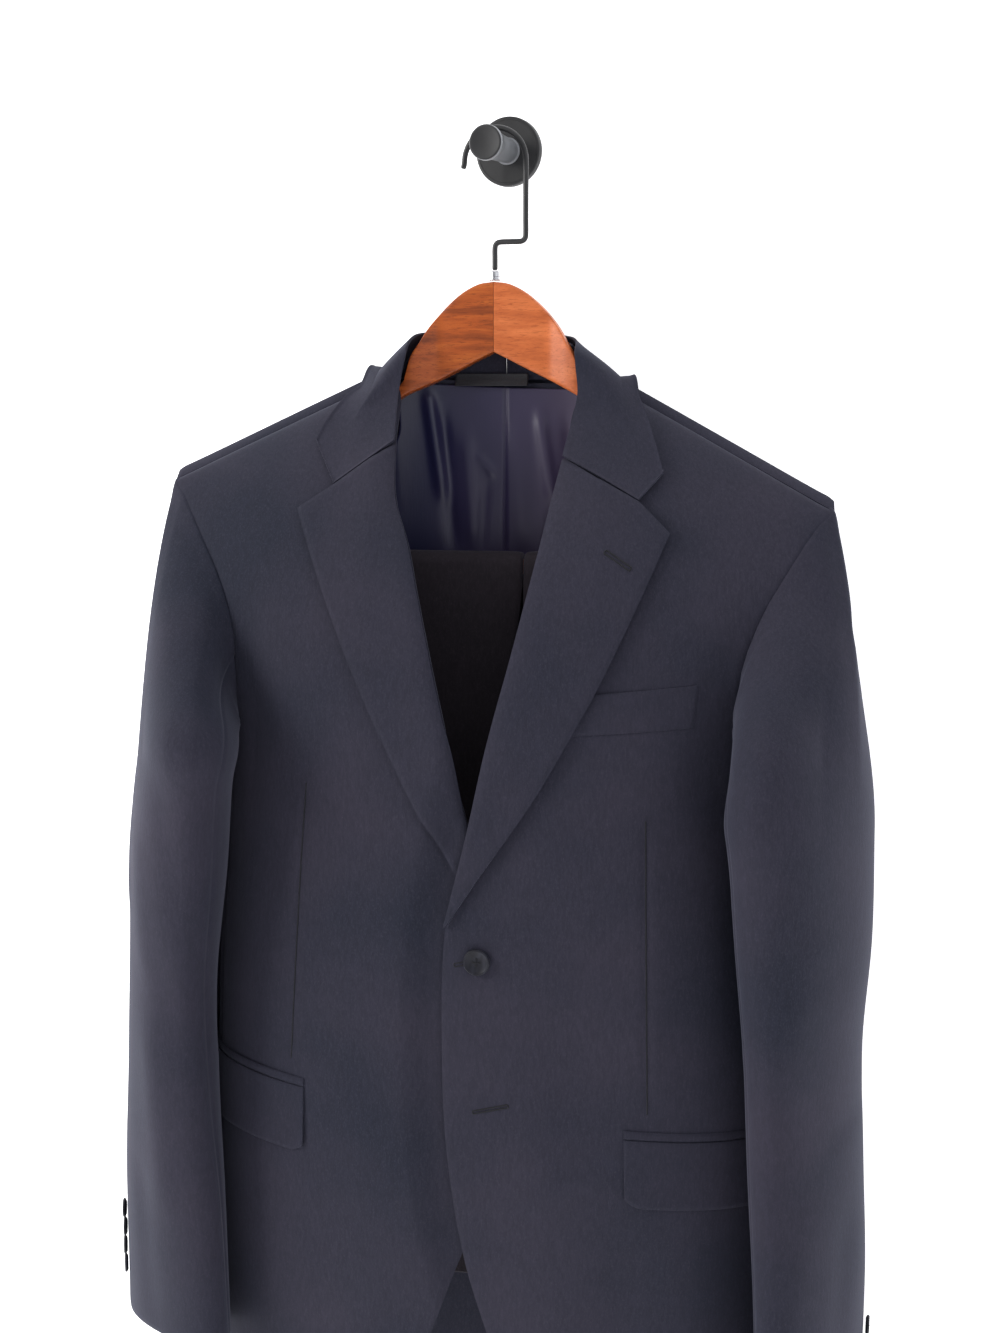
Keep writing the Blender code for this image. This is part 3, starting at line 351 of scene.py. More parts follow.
# small tools
def smooth(t):
    t = min(max(t, 0.0), 1.0)
    return t * t * (3.0 - 2.0 * t)


def lerp(a, b, t):
    return a + (b - a) * t


class Table:

    def __init__(self, columns, *rows):
        self.names = columns.split()
        self.rows = sorted(rows)

    def value(self, key, name):
        rows, col = self.rows, self.names.index(name)
        if key <= rows[0][0]:
            return rows[0][col]
        if key >= rows[-1][0]:
            return rows[-1][col]
        i = next(n for n in range(len(rows) - 1) if rows[n + 1][0] >= key)
        step = rows[i + 1][0] - rows[i][0]
        t = (key - rows[i][0]) / step
        slope = [self.slope(n, col) * step for n in (i, i + 1)]
        a, b = rows[i][col], rows[i + 1][col]
        return (a * (1 + 2 * t) * (1 - t) ** 2 + slope[0] * t * (1 - t) ** 2
                + b * t * t * (3 - 2 * t) - slope[1] * t * t * (1 - t))

    def slope(self, n, col):
        low, high = max(n - 1, 0), min(n + 1, len(self.rows) - 1)
        return (self.rows[high][col] - self.rows[low][col]) / (self.rows[high][0] - self.rows[low][0])


class Line:

    def __init__(self, *points, corners=(), curved=True):
        self.bend = None        # (share asked for, share of the length it stands for)
        self.points = [tuple(float(c) for c in p) for p in points]
        self.corners = set(corners) if curved else set(range(len(points)))
        self.atPoint = [0.0]
        for a, b in zip(self.points, self.points[1:]):
            self.atPoint.append(self.atPoint[-1] + sqrt(sum((q - p) ** 2 for p, q in zip(a, b))))

    def tangent(self, i, other):
        last = len(self.points) - 1
        if i in self.corners or i in (0, last):
            i, j = sorted((i, other))
        else:
            i, j = i - 1, i + 1
        span = self.atPoint[j] - self.atPoint[i]
        return [(b - a) / span for a, b in zip(self.points[i], self.points[j])]

    def at(self, t):
        if self.bend:
            asked, given = self.bend
            t = t * given / asked if t < asked else lerp(given, 1, (t - asked) / (1 - asked))
        where = min(max(t, 0.0), 1.0) * self.atPoint[-1]
        i = next(n for n in range(len(self.points) - 1)
                 if self.atPoint[n + 1] >= where or n == len(self.points) - 2)
        step = self.atPoint[i + 1] - self.atPoint[i]
        s = (where - self.atPoint[i]) / step
        a, b = self.points[i], self.points[i + 1]
        ta, tb = self.tangent(i, i + 1), self.tangent(i + 1, i)
        return tuple(
            p * (1 + 2 * s) * (1 - s) ** 2 + m * step * s * (1 - s) ** 2
            + q * s * s * (3 - 2 * s) - n * step * s * s * (1 - s)
            for p, q, m, n in zip(a, b, ta, tb))

    def share(self, index):
        return self.atPoint[index] / self.atPoint[-1]


def patch(top, bottom, inner, outer, u, v):
    corners = [((1 - u) * (1 - v), top.at(0)), (u * (1 - v), top.at(1)),
               ((1 - u) * v, bottom.at(0)), (u * v, bottom.at(1))]
    borders = [(1 - v, top.at(u)), (v, bottom.at(u)), (1 - u, inner.at(v)), (u, outer.at(v))]
    return tuple(
        sum(w * p[k] for w, p in borders) - sum(w * p[k] for w, p in corners)
        for k in range(len(top.points[0])))


def finishPiece(obj, look, nodes):
    obj.data.materials.append(finishes[look])
    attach(obj, "root")
    if nodes:
        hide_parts(*nodes)


def newObject(name, points, faces):
    mesh = bpy.data.meshes.new(name)
    mesh.from_pydata([tuple(c * mm for c in p) for p in points], [], faces)
    obj = bpy.data.objects.new(name, mesh)
    bpy.context.collection.objects.link(obj)
    return obj


def shadeSolid(obj, sharpAngle):
    # faces turned outwards, and smooth except at edges sharper than the angle
    made = bmesh.new()
    made.from_mesh(obj.data)
    bmesh.ops.recalc_face_normals(made, faces=made.faces)
    made.to_mesh(obj.data)
    made.free()
    obj.data.shade_smooth()
    obj.data.set_sharp_from_angle(angle=radians(sharpAngle))


def ringFaces(rings, count):
    # the quads between each ring of points and the next
    faces = []
    for n in range(rings - 1):
        for k in range(count):
            m = (k + 1) % count
            faces.append((n * count + k, n * count + m, (n + 1) * count + m, (n + 1) * count + k))
    return faces


def even(count):
    return [n / count for n in range(count + 1)]


def packed(count, *places, width=0.02):
    # shares from 0 to 1 that lie closer together near the given places
    fine = [n / 2000 for n in range(2001)]
    weight = [1 + sum(2.6 * exp(-((t - p) / width) ** 2) for p in places) for t in fine]
    total = np.concatenate([[0], np.cumsum([(a + b) / 2 for a, b in zip(weight, weight[1:])])])
    return list(np.interp(np.linspace(0, total[-1], count + 1), total, fine))


def gridNormals(grid, turn):
    across = np.gradient(grid, axis=1)
    along = np.gradient(grid, axis=0)
    normal = np.cross(across, along) * -turn
    size = np.linalg.norm(normal, axis=2, keepdims=True)
    return normal / np.maximum(size, 1e-9)


def borderDistances(grid):
    # millimetres to the left, right, top and bottom borders
    stepU = np.linalg.norm(np.diff(grid, axis=1), axis=2)
    stepV = np.linalg.norm(np.diff(grid, axis=0), axis=2)
    alongU = np.pad(np.cumsum(stepU, axis=1), ((0, 0), (1, 0)))
    alongV = np.pad(np.cumsum(stepV, axis=0), ((1, 0), (0, 0)))
    return {"left": alongU, "right": alongU[:, -1:] - alongU, "top": alongV, "bottom": alongV[-1:, :] - alongV}


def clothPiece(name, point, turn, across, down, look, nodes, thick, rises=None, edges=None, shape=None,
               roundEdge=0.45):
    # a grid on the form, raised and creased, then given its thickness inwards
    grid = np.array([[point(u, v) for u in across] for v in down], float)
    normal = gridNormals(grid, turn)
    borders = borderDistances(grid)
    height = np.zeros(grid.shape[:2])
    if rises is not None:
        height += np.array([[rises(u, v) for u in across] for v in down])
    for side, (drop, width) in (edges or {}).items():
        height -= drop * np.exp(-(borders[side] / width) ** 2)
    if shape is not None:
        height += shape(grid, np.array(across)[None, :], np.array(down)[:, None], borders)
    grid = grid + normal * height[..., None]
    wide, tall = len(across), len(down)
    faces = []
    for j in range(tall - 1):
        for i in range(wide - 1):
            a = j * wide + i
            face = (a, a + 1, a + wide + 1, a + wide)
            faces.append(face[::-1] if turn > 0 else face)
    obj = newObject(name, grid.reshape(-1, 3), faces)
    obj.data.shade_smooth()
    shell = obj.modifiers.new("thickness", "SOLIDIFY")
    shell.thickness = thick * mm
    shell.offset = -1
    if roundEdge:
        soften = obj.modifiers.new("softEdge", "BEVEL")
        soften.width = roundEdge * mm
        soften.segments = 2
        soften.limit_method = "ANGLE"
        soften.angle_limit = radians(60)
    finishPiece(obj, look, nodes)


def turnedPiece(name, profile, centre, axis, look, nodes, count, sharpAngle):
    # a lathe form; rows are (radius, distance along the axis)
    axis = Vector(axis).normalized()
    side = axis.orthogonal().normalized()
    up = axis.cross(side)
    points, rings = [], []
    for radius, along in profile:
        base = Vector(centre) + axis * along
        if radius == 0:
            rings.append([len(points)])
            points.append(base)
            continue
        rings.append(list(range(len(points), len(points) + count)))
        turns = [2 * pi * n / count for n in range(count)]
        points += [base + (side * cos(t) + up * sin(t)) * radius for t in turns]
    faces = []
    for low, high in zip(rings, rings[1:]):
        for n in range(count):
            m = (n + 1) % count
            if len(low) == 1:
                faces.append((low[0], high[n], high[m]))
            elif len(high) == 1:
                faces.append((low[n], low[m], high[0]))
            else:
                faces.append((low[n], low[m], high[m], high[n]))
    obj = newObject(name, points, faces)
    shadeSolid(obj, sharpAngle)
    finishPiece(obj, look, nodes)


def rod(name, route, radius, look, nodes, count=20, up=Vector((0, 1, 0))):
    points = []
    for n, here in enumerate(route):
        ahead = (route[min(n + 1, len(route) - 1)] - route[max(n - 1, 0)]).normalized()
        side = ahead.cross(up).normalized()
        top = side.cross(ahead)
        # the ends are rounded over
        size = radius * (0.72 if n in (0, len(route) - 1) else 1)
        turns = [2 * pi * k / count for k in range(count)]
        points += [here + (side * cos(t) + top * sin(t)) * size for t in turns]
    ends = [tuple(range(count)), tuple(range(len(points) - count, len(points)))]
    obj = newObject(name, points, ringFaces(len(route), count) + ends)
    shadeSolid(obj, 50)
    finishPiece(obj, look, nodes)


def smoothRoute(points, step=1.5):
    line = Line(*[tuple(p) for p in points])
    count = max(int(line.atPoint[-1] / step), 4)
    return [Vector(line.at(n / count)) for n in range(count + 1)]


# the jacket's form: half width, and depth to the front and back, at each level
bodyRows = Table(
    "z half front back",
    (-240, 285, 86, 47),
    (-290, 252, 86, 47),
    (-340, 222, 86, 47),
    (-385, 201, 86, 47),
    (-430, 190, 87, 47),
    (-490, 196, 91, 46),
    (-560, 206, 93, 45),
    (-640, 211, 95, 46),
    (-720, 214, 95, 47),
    (-800, 216, 93, 47),
    (-925, 220, 89, 47),
)


def sag(x, z):
    return x * (0.04 + 0.045 * smooth((-250 - z) / 250))


def section(z, angle):
    half, front, back = (bodyRows.value(z, name) for name in ("half", "front", "back"))
    if angle <= 90:
        power = 2 / suit["frontRound"]
        s, c = sin(radians(angle)), cos(radians(angle))
        return half * s ** power, suit["spineY"] - front * max(c, 0.0) ** power
    return half * sin(radians(angle)), suit["spineY"] - back * cos(radians(angle))


def seamZ(x):
    return suit["ridgeZ"] - suit["slope"] * (abs(x) - suit["neckX"]) - suit["ridgeRise"]


def seamY(x):
    return -40 - 26 * (abs(x) - suit["neckX"]) / (suit["tipX"] - suit["neckX"])


def frontY(x, z):
    x = abs(x)
    half, front = bodyRows.value(z, "half"), bodyRows.value(z, "front")
    chest = suit["spineY"] - front * (1 - min(x / half, 1.0) ** suit["frontRound"]) ** (1 / suit["frontRound"])
    top = seamZ(max(x, suit["neckX"]))
    t = min(max((top - z) / (top - suit["chestZ"]), 0.0), 1.0)
    blend = (1 - (1 - t) ** 1.5) ** 0.75
    return lerp(seamY(max(x, suit["neckX"] * 0.8)), chest, blend)


def backTop(x):
    x = abs(x)
    if x < suit["neckX"]:
        t = (x / suit["neckX"]) ** 2
        return (lerp(suit["neckBackY"], seamY(suit["neckX"]), t * t),
                lerp(suit["neckBackZ"], seamZ(suit["neckX"]), t))
    return seamY(x), seamZ(x)


def backPoint(x, z):
    half, back = bodyRows.value(z, "half"), bodyRows.value(z, "back")
    blade = suit["spineY"] + back * sqrt(max(1 - (abs(x) / half) ** 2, 0.0))
    topY, topZ = backTop(x)
    down = max(topZ - z, 0.0)
    t = min(down / (topZ - suit["bladeZ"]), 1.0)
    blend = (1 - (1 - t) ** 1.6) ** 0.4
    rise = 12 * (down / 5) * exp(1 - down / 5) * smooth((abs(x) - suit["neckX"] + 4) / 14)
    return lerp(topY, blade, blend), z + rise


def normalOf(point, u, v, side):
    e = 0.004
    u0, u1 = max(u - e, 0.0), min(u + e, 1.0)
    v0, v1 = max(v - e, 0.0), min(v + e, 1.0)
    across = Vector(point(u1, v)) - Vector(point(u0, v))
    along = Vector(point(u, v1)) - Vector(point(u, v0))
    return (across.cross(along) * -side).normalized()


def softHeight(grid, scale, amount, seed):
    # slow unevenness of hung cloth
    flat = grid.reshape(-1, 3)
    values = [noise.noise(Vector((p[0], p[1], p[2] * 0.45)) * scale + Vector((seed, 0, 0))) for p in flat]
    return np.array(values).reshape(grid.shape[:2]) * amount


def trough(grid, start, end, width, depth, fade=0.25):
    # a soft groove (or, with a negative depth, a ridge) along a line seen from the front
    a, b = np.array(start, float), np.array(end, float)
    along = b - a
    length = np.linalg.norm(along)
    offset = grid[..., [0, 2]] - a
    share = (offset @ along) / length ** 2
    across = np.abs(offset[..., 0] * along[1] - offset[..., 1] * along[0]) / length
    ends = np.clip(share / fade, 0, 1) * np.clip((1 - share) / fade, 0, 1)
    ends = ends * ends * (3 - 2 * ends)
    return -depth * np.exp(-(across / width) ** 2) * ends


# wall peg
peg = {"turn": 10.0, "plateDiameter": 49.5, "plateThick": 6.0, "length": 46.0, "capDiameter": 24.8, "hookOut": 32.0,
       "shaftFoot": 8.6}
hook = {"wire": 4.0, "radius": 23.5, "top": 12.8, "jog": -67.0, "bend": 4.0, "foot": -86.6}

outward = Vector((-sin(radians(peg["turn"])), -cos(radians(peg["turn"])), 0))
alongWall = Vector((cos(radians(peg["turn"])), -sin(radians(peg["turn"])), 0))
hangAxis = outward * peg["hookOut"]


def buildPeg():
    r, t = peg["plateDiameter"] / 2, peg["plateThick"]
    turnedPiece("wallPlate", [(0, 0), (r - 0.6, 0), (r, 0.5), (r, t - 1.2), (r - 0.35, t - 0.4), (r - 1.2, t),
                              (r - 2.2, t), (r - 2.6, t - 0.25), (0, t - 0.25)],
                (0, 0, 0), outward, "black", ["wall_plate"], 96, 32)
    cap, tip, foot = peg["capDiameter"] / 2, t + peg["length"], peg["shaftFoot"]
    turnedPiece("wallPeg", [(0, t + 0.3), (foot + 1.2, t + 0.3), (foot + 1.0, t + 1.0), (foot, t + 1.6),
                            (foot + 0.3, t + 9), (9.4, peg["hookOut"] - 8), (9.9, peg["hookOut"] + 3),
                            (10.6, tip - 7.4), (cap - 0.5, tip - 4.2), (cap, tip - 3.2), (cap, tip - 1.2),
                            (cap - 0.4, tip - 0.5)],
                (0, 0, 0), outward, "peg", ["wall_peg"], 96, 32)
    turnedPiece("pegCap", [(cap - 0.45, tip - 0.55), (cap - 0.9, tip - 0.1), (cap - 1.6, tip),
                           (cap - 2.2, tip - 0.15), (0, tip - 0.15)],
                (0, 0, 0), outward, "black", [], 96, 32)


def hookRoute():
    middle = hook["top"] - hook["radius"]
    jog, bend = hook["jog"], hook["bend"]
    route = [(0, hook["foot"]), (0, -78)]
    route += [(bend - bend * cos(a), jog - bend + bend * sin(a)) for a in quarter()]
    route += [(hook["radius"] / 2, jog)]
    route += [(hook["radius"] - bend + bend * sin(a), jog + bend - bend * cos(a)) for a in quarter()]
    route += [(hook["radius"], z) for z in (-52, -38, -24)]
    route += [(hook["radius"] * cos(radians(a)), middle + hook["radius"] * sin(radians(a)))
              for a in range(0, 186, 12)]
    route.append((-hook["radius"] - 0.9, middle - 4))
    return [hangAxis + alongWall * x + Vector((0, 0, z)) for x, z in route]


def quarter():
    return [radians(a) for a in (0, 30, 60, 90)]


def buildHook():
    rod("hookWire", smoothRoute(hookRoute(), 1.2), hook["wire"] / 2, "black", ["hook_wire"], 20,
        outward)
    foot = hangAxis + Vector((0, 0, hanger["top"] + 0.9))
    turnedPiece("hookFerrule", [(0, 0), (4.1, 0), (4.4, 0.4), (4.4, 1.2), (3.6, 1.5), (3.6, 2.4), (4.4, 2.8),
                                (4.4, 6.0), (4.0, 6.7), (2.6, 7.0), (0, 7.0)],
                foot, (0, 0, 1), "steel", ["hook_ferrule"], 48, 30)


# wooden hanger
hanger = {"top": -95.0, "barDiameter": 11.0, "barLevel": -298.0, "barHalf": 184.0, "barY": -54.0, "barBend": 14.0,
          "barFoot": 4.5}
armRows = Table(
    "reach top bottom y thick",
    (0, -95, -145, 0, 13),
    (11, -96.6, -150.4, 0, 13),
    (22, -102, -156, 0, 13),
    (31, -109, -160.4, 0, 13),
    (40, -118, -164.8, 0, 13),
    (48, -128, -168.8, -3, 13),
    (54, -138, -171.7, -5.5, 13),
    (61, -150, -175.2, -7.5, 13),
    (66, -168, -178, -8, 12.4),
    (76, -174, -186, -9.5, 11.6),
    (88, -179, -194, -11, 11),
    (100, -186, -203, -12, 11),
    (125, -199, -215, -15.5, 11),
    (150, -212, -228, -19, 11),
    (172, -222, -239, -21.5, 11),
    (195, -236, -250, -25.5, 11),
    (205, -240, -247, -26, 8),
)


def armPoint(side, reach, turn):
    # round an arm's section: an upright bar with eased edges and a crowned top under the cloth
    top, bottom, back, thick = (armRows.value(reach, name) for name in ("top", "bottom", "y", "thick"))
    x, y, half = hangAxis.x + side * reach, hangAxis.y + back, thick / 2
    shift = -sag(x, top) * smooth((reach - 40) / 60)
    middle, tall = (top + bottom) / 2, (top - bottom) / 2
    power = lerp(0.22, 0.55, smooth((reach - 40) / 60))
    c, s = cos(turn), sin(turn)
    dy = half * (abs(c) ** power) * (1 if c > 0 else -1)
    dz = tall * (abs(s) ** (power * 0.55)) * (1 if s > 0 else -1)
    return Vector((x, y + dy, middle + dz + shift))


def buildHanger():
    count = 48
    reaches = [0.15, 0.5] + [0.5 + 60.5 * n / 44 for n in range(1, 45)]
    reaches += [61 + 144 * n / 36 for n in range(1, 37)]
    for side in (-1, 1):
        name = sideName(side)
        points = []
        for reach in reaches:
            shrinkEnd = smooth((205.6 - reach) / 5) if reach > 199 else 1
            ring = [armPoint(side, reach, 2 * pi * (k + 0.5) / count) for k in range(count)]
            middle = sum(ring, Vector()) / count
            points += [middle + (p - middle) * (0.3 + 0.7 * shrinkEnd) for p in ring]
        ends = [tuple(range(count)), tuple(range(len(points) - count, len(points)))]
        obj = newObject("hangerArm" + name.title(), points, ringFaces(len(reaches), count) + ends)
        shadeSolid(obj, 38)
        finishPiece(obj, "wood" + name.title(), ["hanger_arm_" + name])
    route, bend = [], hanger["barBend"]
    for side in (-1, 1):
        x = hangAxis.x + side * hanger["barHalf"]
        y = hangAxis.y + armRows.value(hanger["barHalf"], "y")
        top = armRows.value(hanger["barHalf"], "bottom") - sag(x, armRows.value(hanger["barHalf"], "top"))
        top -= hanger["barFoot"]
        foot = Vector((x, hanger["barY"], hanger["barLevel"]))
        post = [foot + Vector((-side * bend * (1 - sin(a)), 0, bend * (1 - cos(a)))) for a in quarter()]
        post += [foot.lerp(Vector((x, y, top)), 0.6), Vector((x, y, top))]
        route = post[::-1] if side < 0 else route + post
    rod("hangerBar", smoothRoute(route, 3.0), hanger["barDiameter"] / 2, "woodLeft", ["hanger_bar"],
        24)


# jacket outlines on one side's own plane; x runs outwards from the middle
neckPoint = (suit["neckX"], seamZ(suit["neckX"]))
shoulderTip = (suit["tipX"], seamZ(suit["tipX"]))
frontArmhole = ((227, -262), (209, -290), (193, -318), (183, -350), (181, -385))
backArmhole = ((231, -270), (214, -312), (199, -350), (186, -382))

# a front's inner edge: neck point, roll line, front edge, rounded corner at the hem
edgeLeft = ((59, -176), (54, -215), (47, -249), (40, -286), (25, -355), (9, -419), (-4, -481), (-18, -545),
             (-20, -637), (-17, -705), (-6, -779), (7, -826), (24, -872), (48, -904), (84, -919))
edgeRight = ((70, -179), (68, -209), (63, -250), (51, -281), (41, -317), (29, -362), (17, -410), (9, -450),
              (-2, -490), (-14, -535), (-19, -600), (-18, -690), (-7, -750), (6, -779), (25, -832),
              (42, -878), (62, -905), (92, -920))


def seamPoints(share, top):
    levels = [top + (suit["hemZ"] - top) * n / 18 for n in range(19)]
    return [(share * bodyRows.value(z, "half"), z) for z in levels]


def edgeOf(side):
    return Line(neckPoint, *(edgeLeft if side > 0 else edgeRight))


def frontOuter():
    return Line(shoulderTip, *frontArmhole, *seamPoints(suit["sideSeam"], suit["frontSeamTop"]))


def backOuter():
    return Line(shoulderTip, *backArmhole, *seamPoints(suit["backSeam"], suit["backSeamTop"]))


def frontEdgeX(z):
    points = (neckPoint,) + edgeLeft
    for (x0, z0), (x1, z1) in zip(points, points[1:]):
        if z1 <= z <= z0:
            return lerp(x0, x1, (z0 - z) / (z0 - z1))
    return points[-1][0] if z < points[-1][1] else suit["neckX"]


def world(side, x, y, z):
    x *= side
    return x, y, z - sag(x, z)


def frontBase(side, x, z):
    y = frontY(x, z)
    if side < 0:
        level = z - sag(-x, z)
        y += suit["overlapPush"] * smooth((-x - frontEdgeX(level) + 34) / 27)
    return world(side, x, y, z)


def frontPatch(side):
    inner, outer = edgeOf(side), frontOuter()
    top = Line(neckPoint, shoulderTip, curved=False)
    bottom = Line(inner.at(1), outer.at(1), curved=False)

    def point(u, v):
        x, z = patch(top, bottom, inner, outer, u, v)
        return frontBase(side, x, z)
    return point


def backPatch(side):
    neck = [(suit["neckX"] * t, backTop(suit["neckX"] * t)[1]) for t in (0.0, 0.25, 0.5, 0.75)]
    top = Line(*neck, neckPoint, shoulderTip, corners=(4,))
    outer = backOuter()
    inner = Line((0, suit["neckBackZ"]), (0, suit["hemZ"]), curved=False)
    bottom = Line((0, suit["hemZ"]), outer.at(1), curved=False)

    def point(u, v):
        x, z = patch(top, bottom, inner, outer, u, v)
        y, z = backPoint(x, z)
        return world(side, x, y, z)
    return point, top.share(4)


def sidePatch(side):
    frontAngle = degrees(asin(suit["sideSeam"] ** (suit["frontRound"] / 2)))
    backAngle = 180 - degrees(asin(suit["backSeam"]))

    def point(u, v):
        angle = lerp(frontAngle, backAngle, u)
        dip = (suit["underarmZ"] - suit["frontSeamTop"]) * sin(pi * u)
        top = lerp(suit["frontSeamTop"], suit["backSeamTop"], u) + dip
        z = lerp(top, suit["hemZ"], v)
        return world(side, *section(z, angle), z)
    return point


def shrink(point, left=0.0, right=0.0, top=0.0, bottom=0.0):
    def made(u, v):
        wide = (Vector(point(1, v)) - Vector(point(0, v))).length
        tall = (Vector(point(u, 1)) - Vector(point(u, 0))).length
        return point(lerp(left / wide, 1 - right / wide, u), lerp(top / tall, 1 - bottom / tall, v))
    return made


armShareFront = frontOuter().share(len(frontArmhole) + 1)    # where the armhole ends on the edges
armShareBack = backOuter().share(len(backArmhole) + 1)


def sideName(side):
    return "left" if side > 0 else "right"


darts = {1: ((118.4, -463.5), (122.9, -670.0)), -1: ((-121.1, -446.0), (-134.3, -648.0))}
frontFolds = {
    # start, end, width, depth of the soft hangs in each front
    1: [((176, -330), (150, -470), 16, 1.6), ((188, -420), (186, -640), 12, 1.8), ((60, -560), (92, -700), 30, 0.9),
        ((30, -600), (70, -900), 26, -1.0), ((150, -720), (165, -940), 22, -1.6), ((105, -740), (112, -940), 20, 1.2)],
    -1: [((-176, -300), (-158, -440), 16, 1.8), ((-190, -400), (-184, -600), 12, 1.8),
         ((-30, -560), (-80, -690), 28, 0.8), ((-35, -600), (-60, -880), 26, -0.9),
         ((-150, -690), (-165, -905), 22, -1.6), ((-100, -700), (-106, -905), 20, 1.2)],
}
backFolds = [
    ((0, -200), (0, -920), 4, 0.5), ((60, -260), (96, -420), 22, 1.4), ((-64, -250), (-100, -400), 22, 1.2),
    ((130, -330), (112, -560), 20, -1.6), ((-132, -320), (-118, -540), 20, -1.4), ((40, -500), (64, -900), 30, -1.8),
    ((-46, -520), (-60, -880), 28, -1.6), ((140, -600), (150, -920), 24, 1.8), ((-142, -610), (-150, -900), 24, 1.6),
]


def foldsOf(grid, rows):
    height = np.zeros(grid.shape[:2])
    for start, end, width, depth in rows:
        height += trough(grid, start, end, width, depth)
    return height


rest = {
    # level, reach and rise where body and sleeve lie on each other below the armhole
    "body": {1: (-440.0, 26.0, 3.5), -1: (-436.0, 56.0, 9.0)},
    "sleeve": {1: (-400.0, 48.0, 11.0), -1: (-412.0, 24.0, 7.0)},
}


def bodyRest(grid, side):
    level, reach, most = rest["body"][side]
    outer = np.clip((grid[..., 0] * side - 166) / 22, 0, 1)
    return most * outer * np.exp(-((grid[..., 2] - level) / reach) ** 2)


def buildBody(side):
    half = -suit["tuck"]
    name = sideName(side)
    front = shrink(frontPatch(side), right=half, top=half)
    start, end = darts[side]

    def frontShape(grid, u, v, borders):
        height = softHeight(grid, 0.011, 1.0, 3.0 + side) + foldsOf(grid, frontFolds[side])
        height += trough(grid, start, end, 3.0, 0.9, 0.08)
        # fuller each side of the dart
        height += trough(grid, start, end, 20, -0.8, 0.3)
        height *= np.clip(borders["right"] / 12, 0, 1) * np.clip(borders["left"] / 14, 0, 1)
        return height + bodyRest(grid, side)
    clothPiece("front" + name.title(), front, side, packed(96, 0, 1), packed(210, 0, 1, width=0.01), "cloth",
               ["front_" + name], suit["wall"],
               edges={"right": (0.8, 2.6), "top": (0.6, 2.4), "left": (0.5, 1.8), "bottom": (0.5, 2.0)},
               shape=frontShape)
    under = shrink(sidePatch(side), left=half, right=half)
    clothPiece("side" + name.title(), under, side, packed(24, 0, 1, width=0.06), packed(110, 0, width=0.03),
               "cloth", ["side_" + name], suit["wall"],
               edges={"left": (0.8, 2.6), "right": (0.8, 2.6), "top": (0.7, 2.4), "bottom": (0.5, 2.0)},
               shape=lambda grid, u, v, borders: bodyRest(grid, side))
    point, neckShare = backPatch(side)
    cut = shrink(point, left=half, right=half, top=half)

    def back(u, v):
        # the hem hangs a little lower towards the middle
        x, y, z = cut(u, v)
        return x, y, z - 12 * (1 - u) * smooth((v - 0.7) / 0.3)

    def backShape(grid, u, v, borders):
        height = softHeight(grid, 0.010, 1.0, 9.0) + foldsOf(grid, backFolds)
        return height * np.clip(borders["right"] / 14, 0, 1) * np.clip(borders["top"] / 14, 0, 1)
    across = packed(74, 0, neckShare, 1)
    down = [0, 0.003, 0.006, 0.01, 0.015, 0.02, 0.027, 0.035, 0.045, 0.055, 0.07, 0.085] + [
        0.1 + 0.9 * n / 110 for n in range(111)]
    clothPiece("back" + name.title(), back, -side, across, down, "cloth", ["back_" + name],
               suit["wall"], edges={"left": (0.7, 2.4), "right": (0.8, 2.6), "top": (0.5, 2.0), "bottom": (0.5, 2.0)},
               shape=backShape)


# sleeves: the ring's middle, half width and turn at each level
sleeveRows = Table(
    "z y long x_left short_left turn_left x_right short_right turn_right",
    (-452, -118, 76, 223.5, 39, 27, 218, 33, 26),
    (-530, -116, 71, 227, 37, 28, 226, 34, 28),
    (-610, -113, 66, 229, 31, 27, 234, 31, 30),
    (-690, -112, 65, 233, 29, 28, 236.5, 31, 34),
    (-780, -112, 66, 238, 27, 28, 237.5, 30, 42),
    (-897, -112, 69, 239.5, 23.5, 26, 237.5, 24, 48),
)
sleeveCut = {"cuffZ": -897.0, "cuffSlant": 14.0, "leanAngle": 226.0, "leanGap": 2.6, "leanSpread": 26.0,
             "leanFrom": -460.0, "leanTo": -885.0, "topAngle": 95.0, "bicepsZ": -452.0, "capShare": 0.34, "hindSeam": 152.0, "foreSeam": -28.0, "gap": -0.1}
sleeveFolds = {
    # start and end as (x, z), width, depth
    1: [((205, -300), (262, -345), 11, 1.3), ((196, -345), (246, -420), 13, 1.2), ((214, -420), (190, -520), 12, 1.5),
        ((232, -560), (205, -640), 16, -1.6), ((226, -640), (262, -690), 14, 1.3), ((240, -700), (215, -860), 15, -1.5),
        ((262, -720), (256, -900), 9, 1.2), ((218, -470), (246, -560), 15, -1.1)],
    -1: [((-200, -288), (-158, -350), 12, 1.6), ((-232, -300), (-190, -372), 13, 1.4),
         ((-246, -470), (-238, -600), 12, -1.5), ((-236, -600), (-226, -790), 15, -2.2),
         ((-262, -420), (-262, -560), 6, -1.2), ((-215, -430), (-200, -560), 12, 1.4),
         ((-222, -560), (-206, -660), 12, 1.2), ((-256, -720), (-250, -880), 12, 1.3)],
}


def armhole(side):
    front, (back, _), under = frontPatch(side), backPatch(side), sidePatch(side)
    ring = []
    for n in range(13):
        v = armShareFront * n / 12
        ring.append((Vector(front(1, v)), normalOf(front, 1, v, side)))
    for n in range(1, 6):
        ring.append((Vector(under(n / 6, 0)), normalOf(under, n / 6, 0, side)))
    for n in range(12, 0, -1):
        v = armShareBack * n / 12
        ring.append((Vector(back(1, v)), normalOf(back, 1, v, -side)))
    return ring


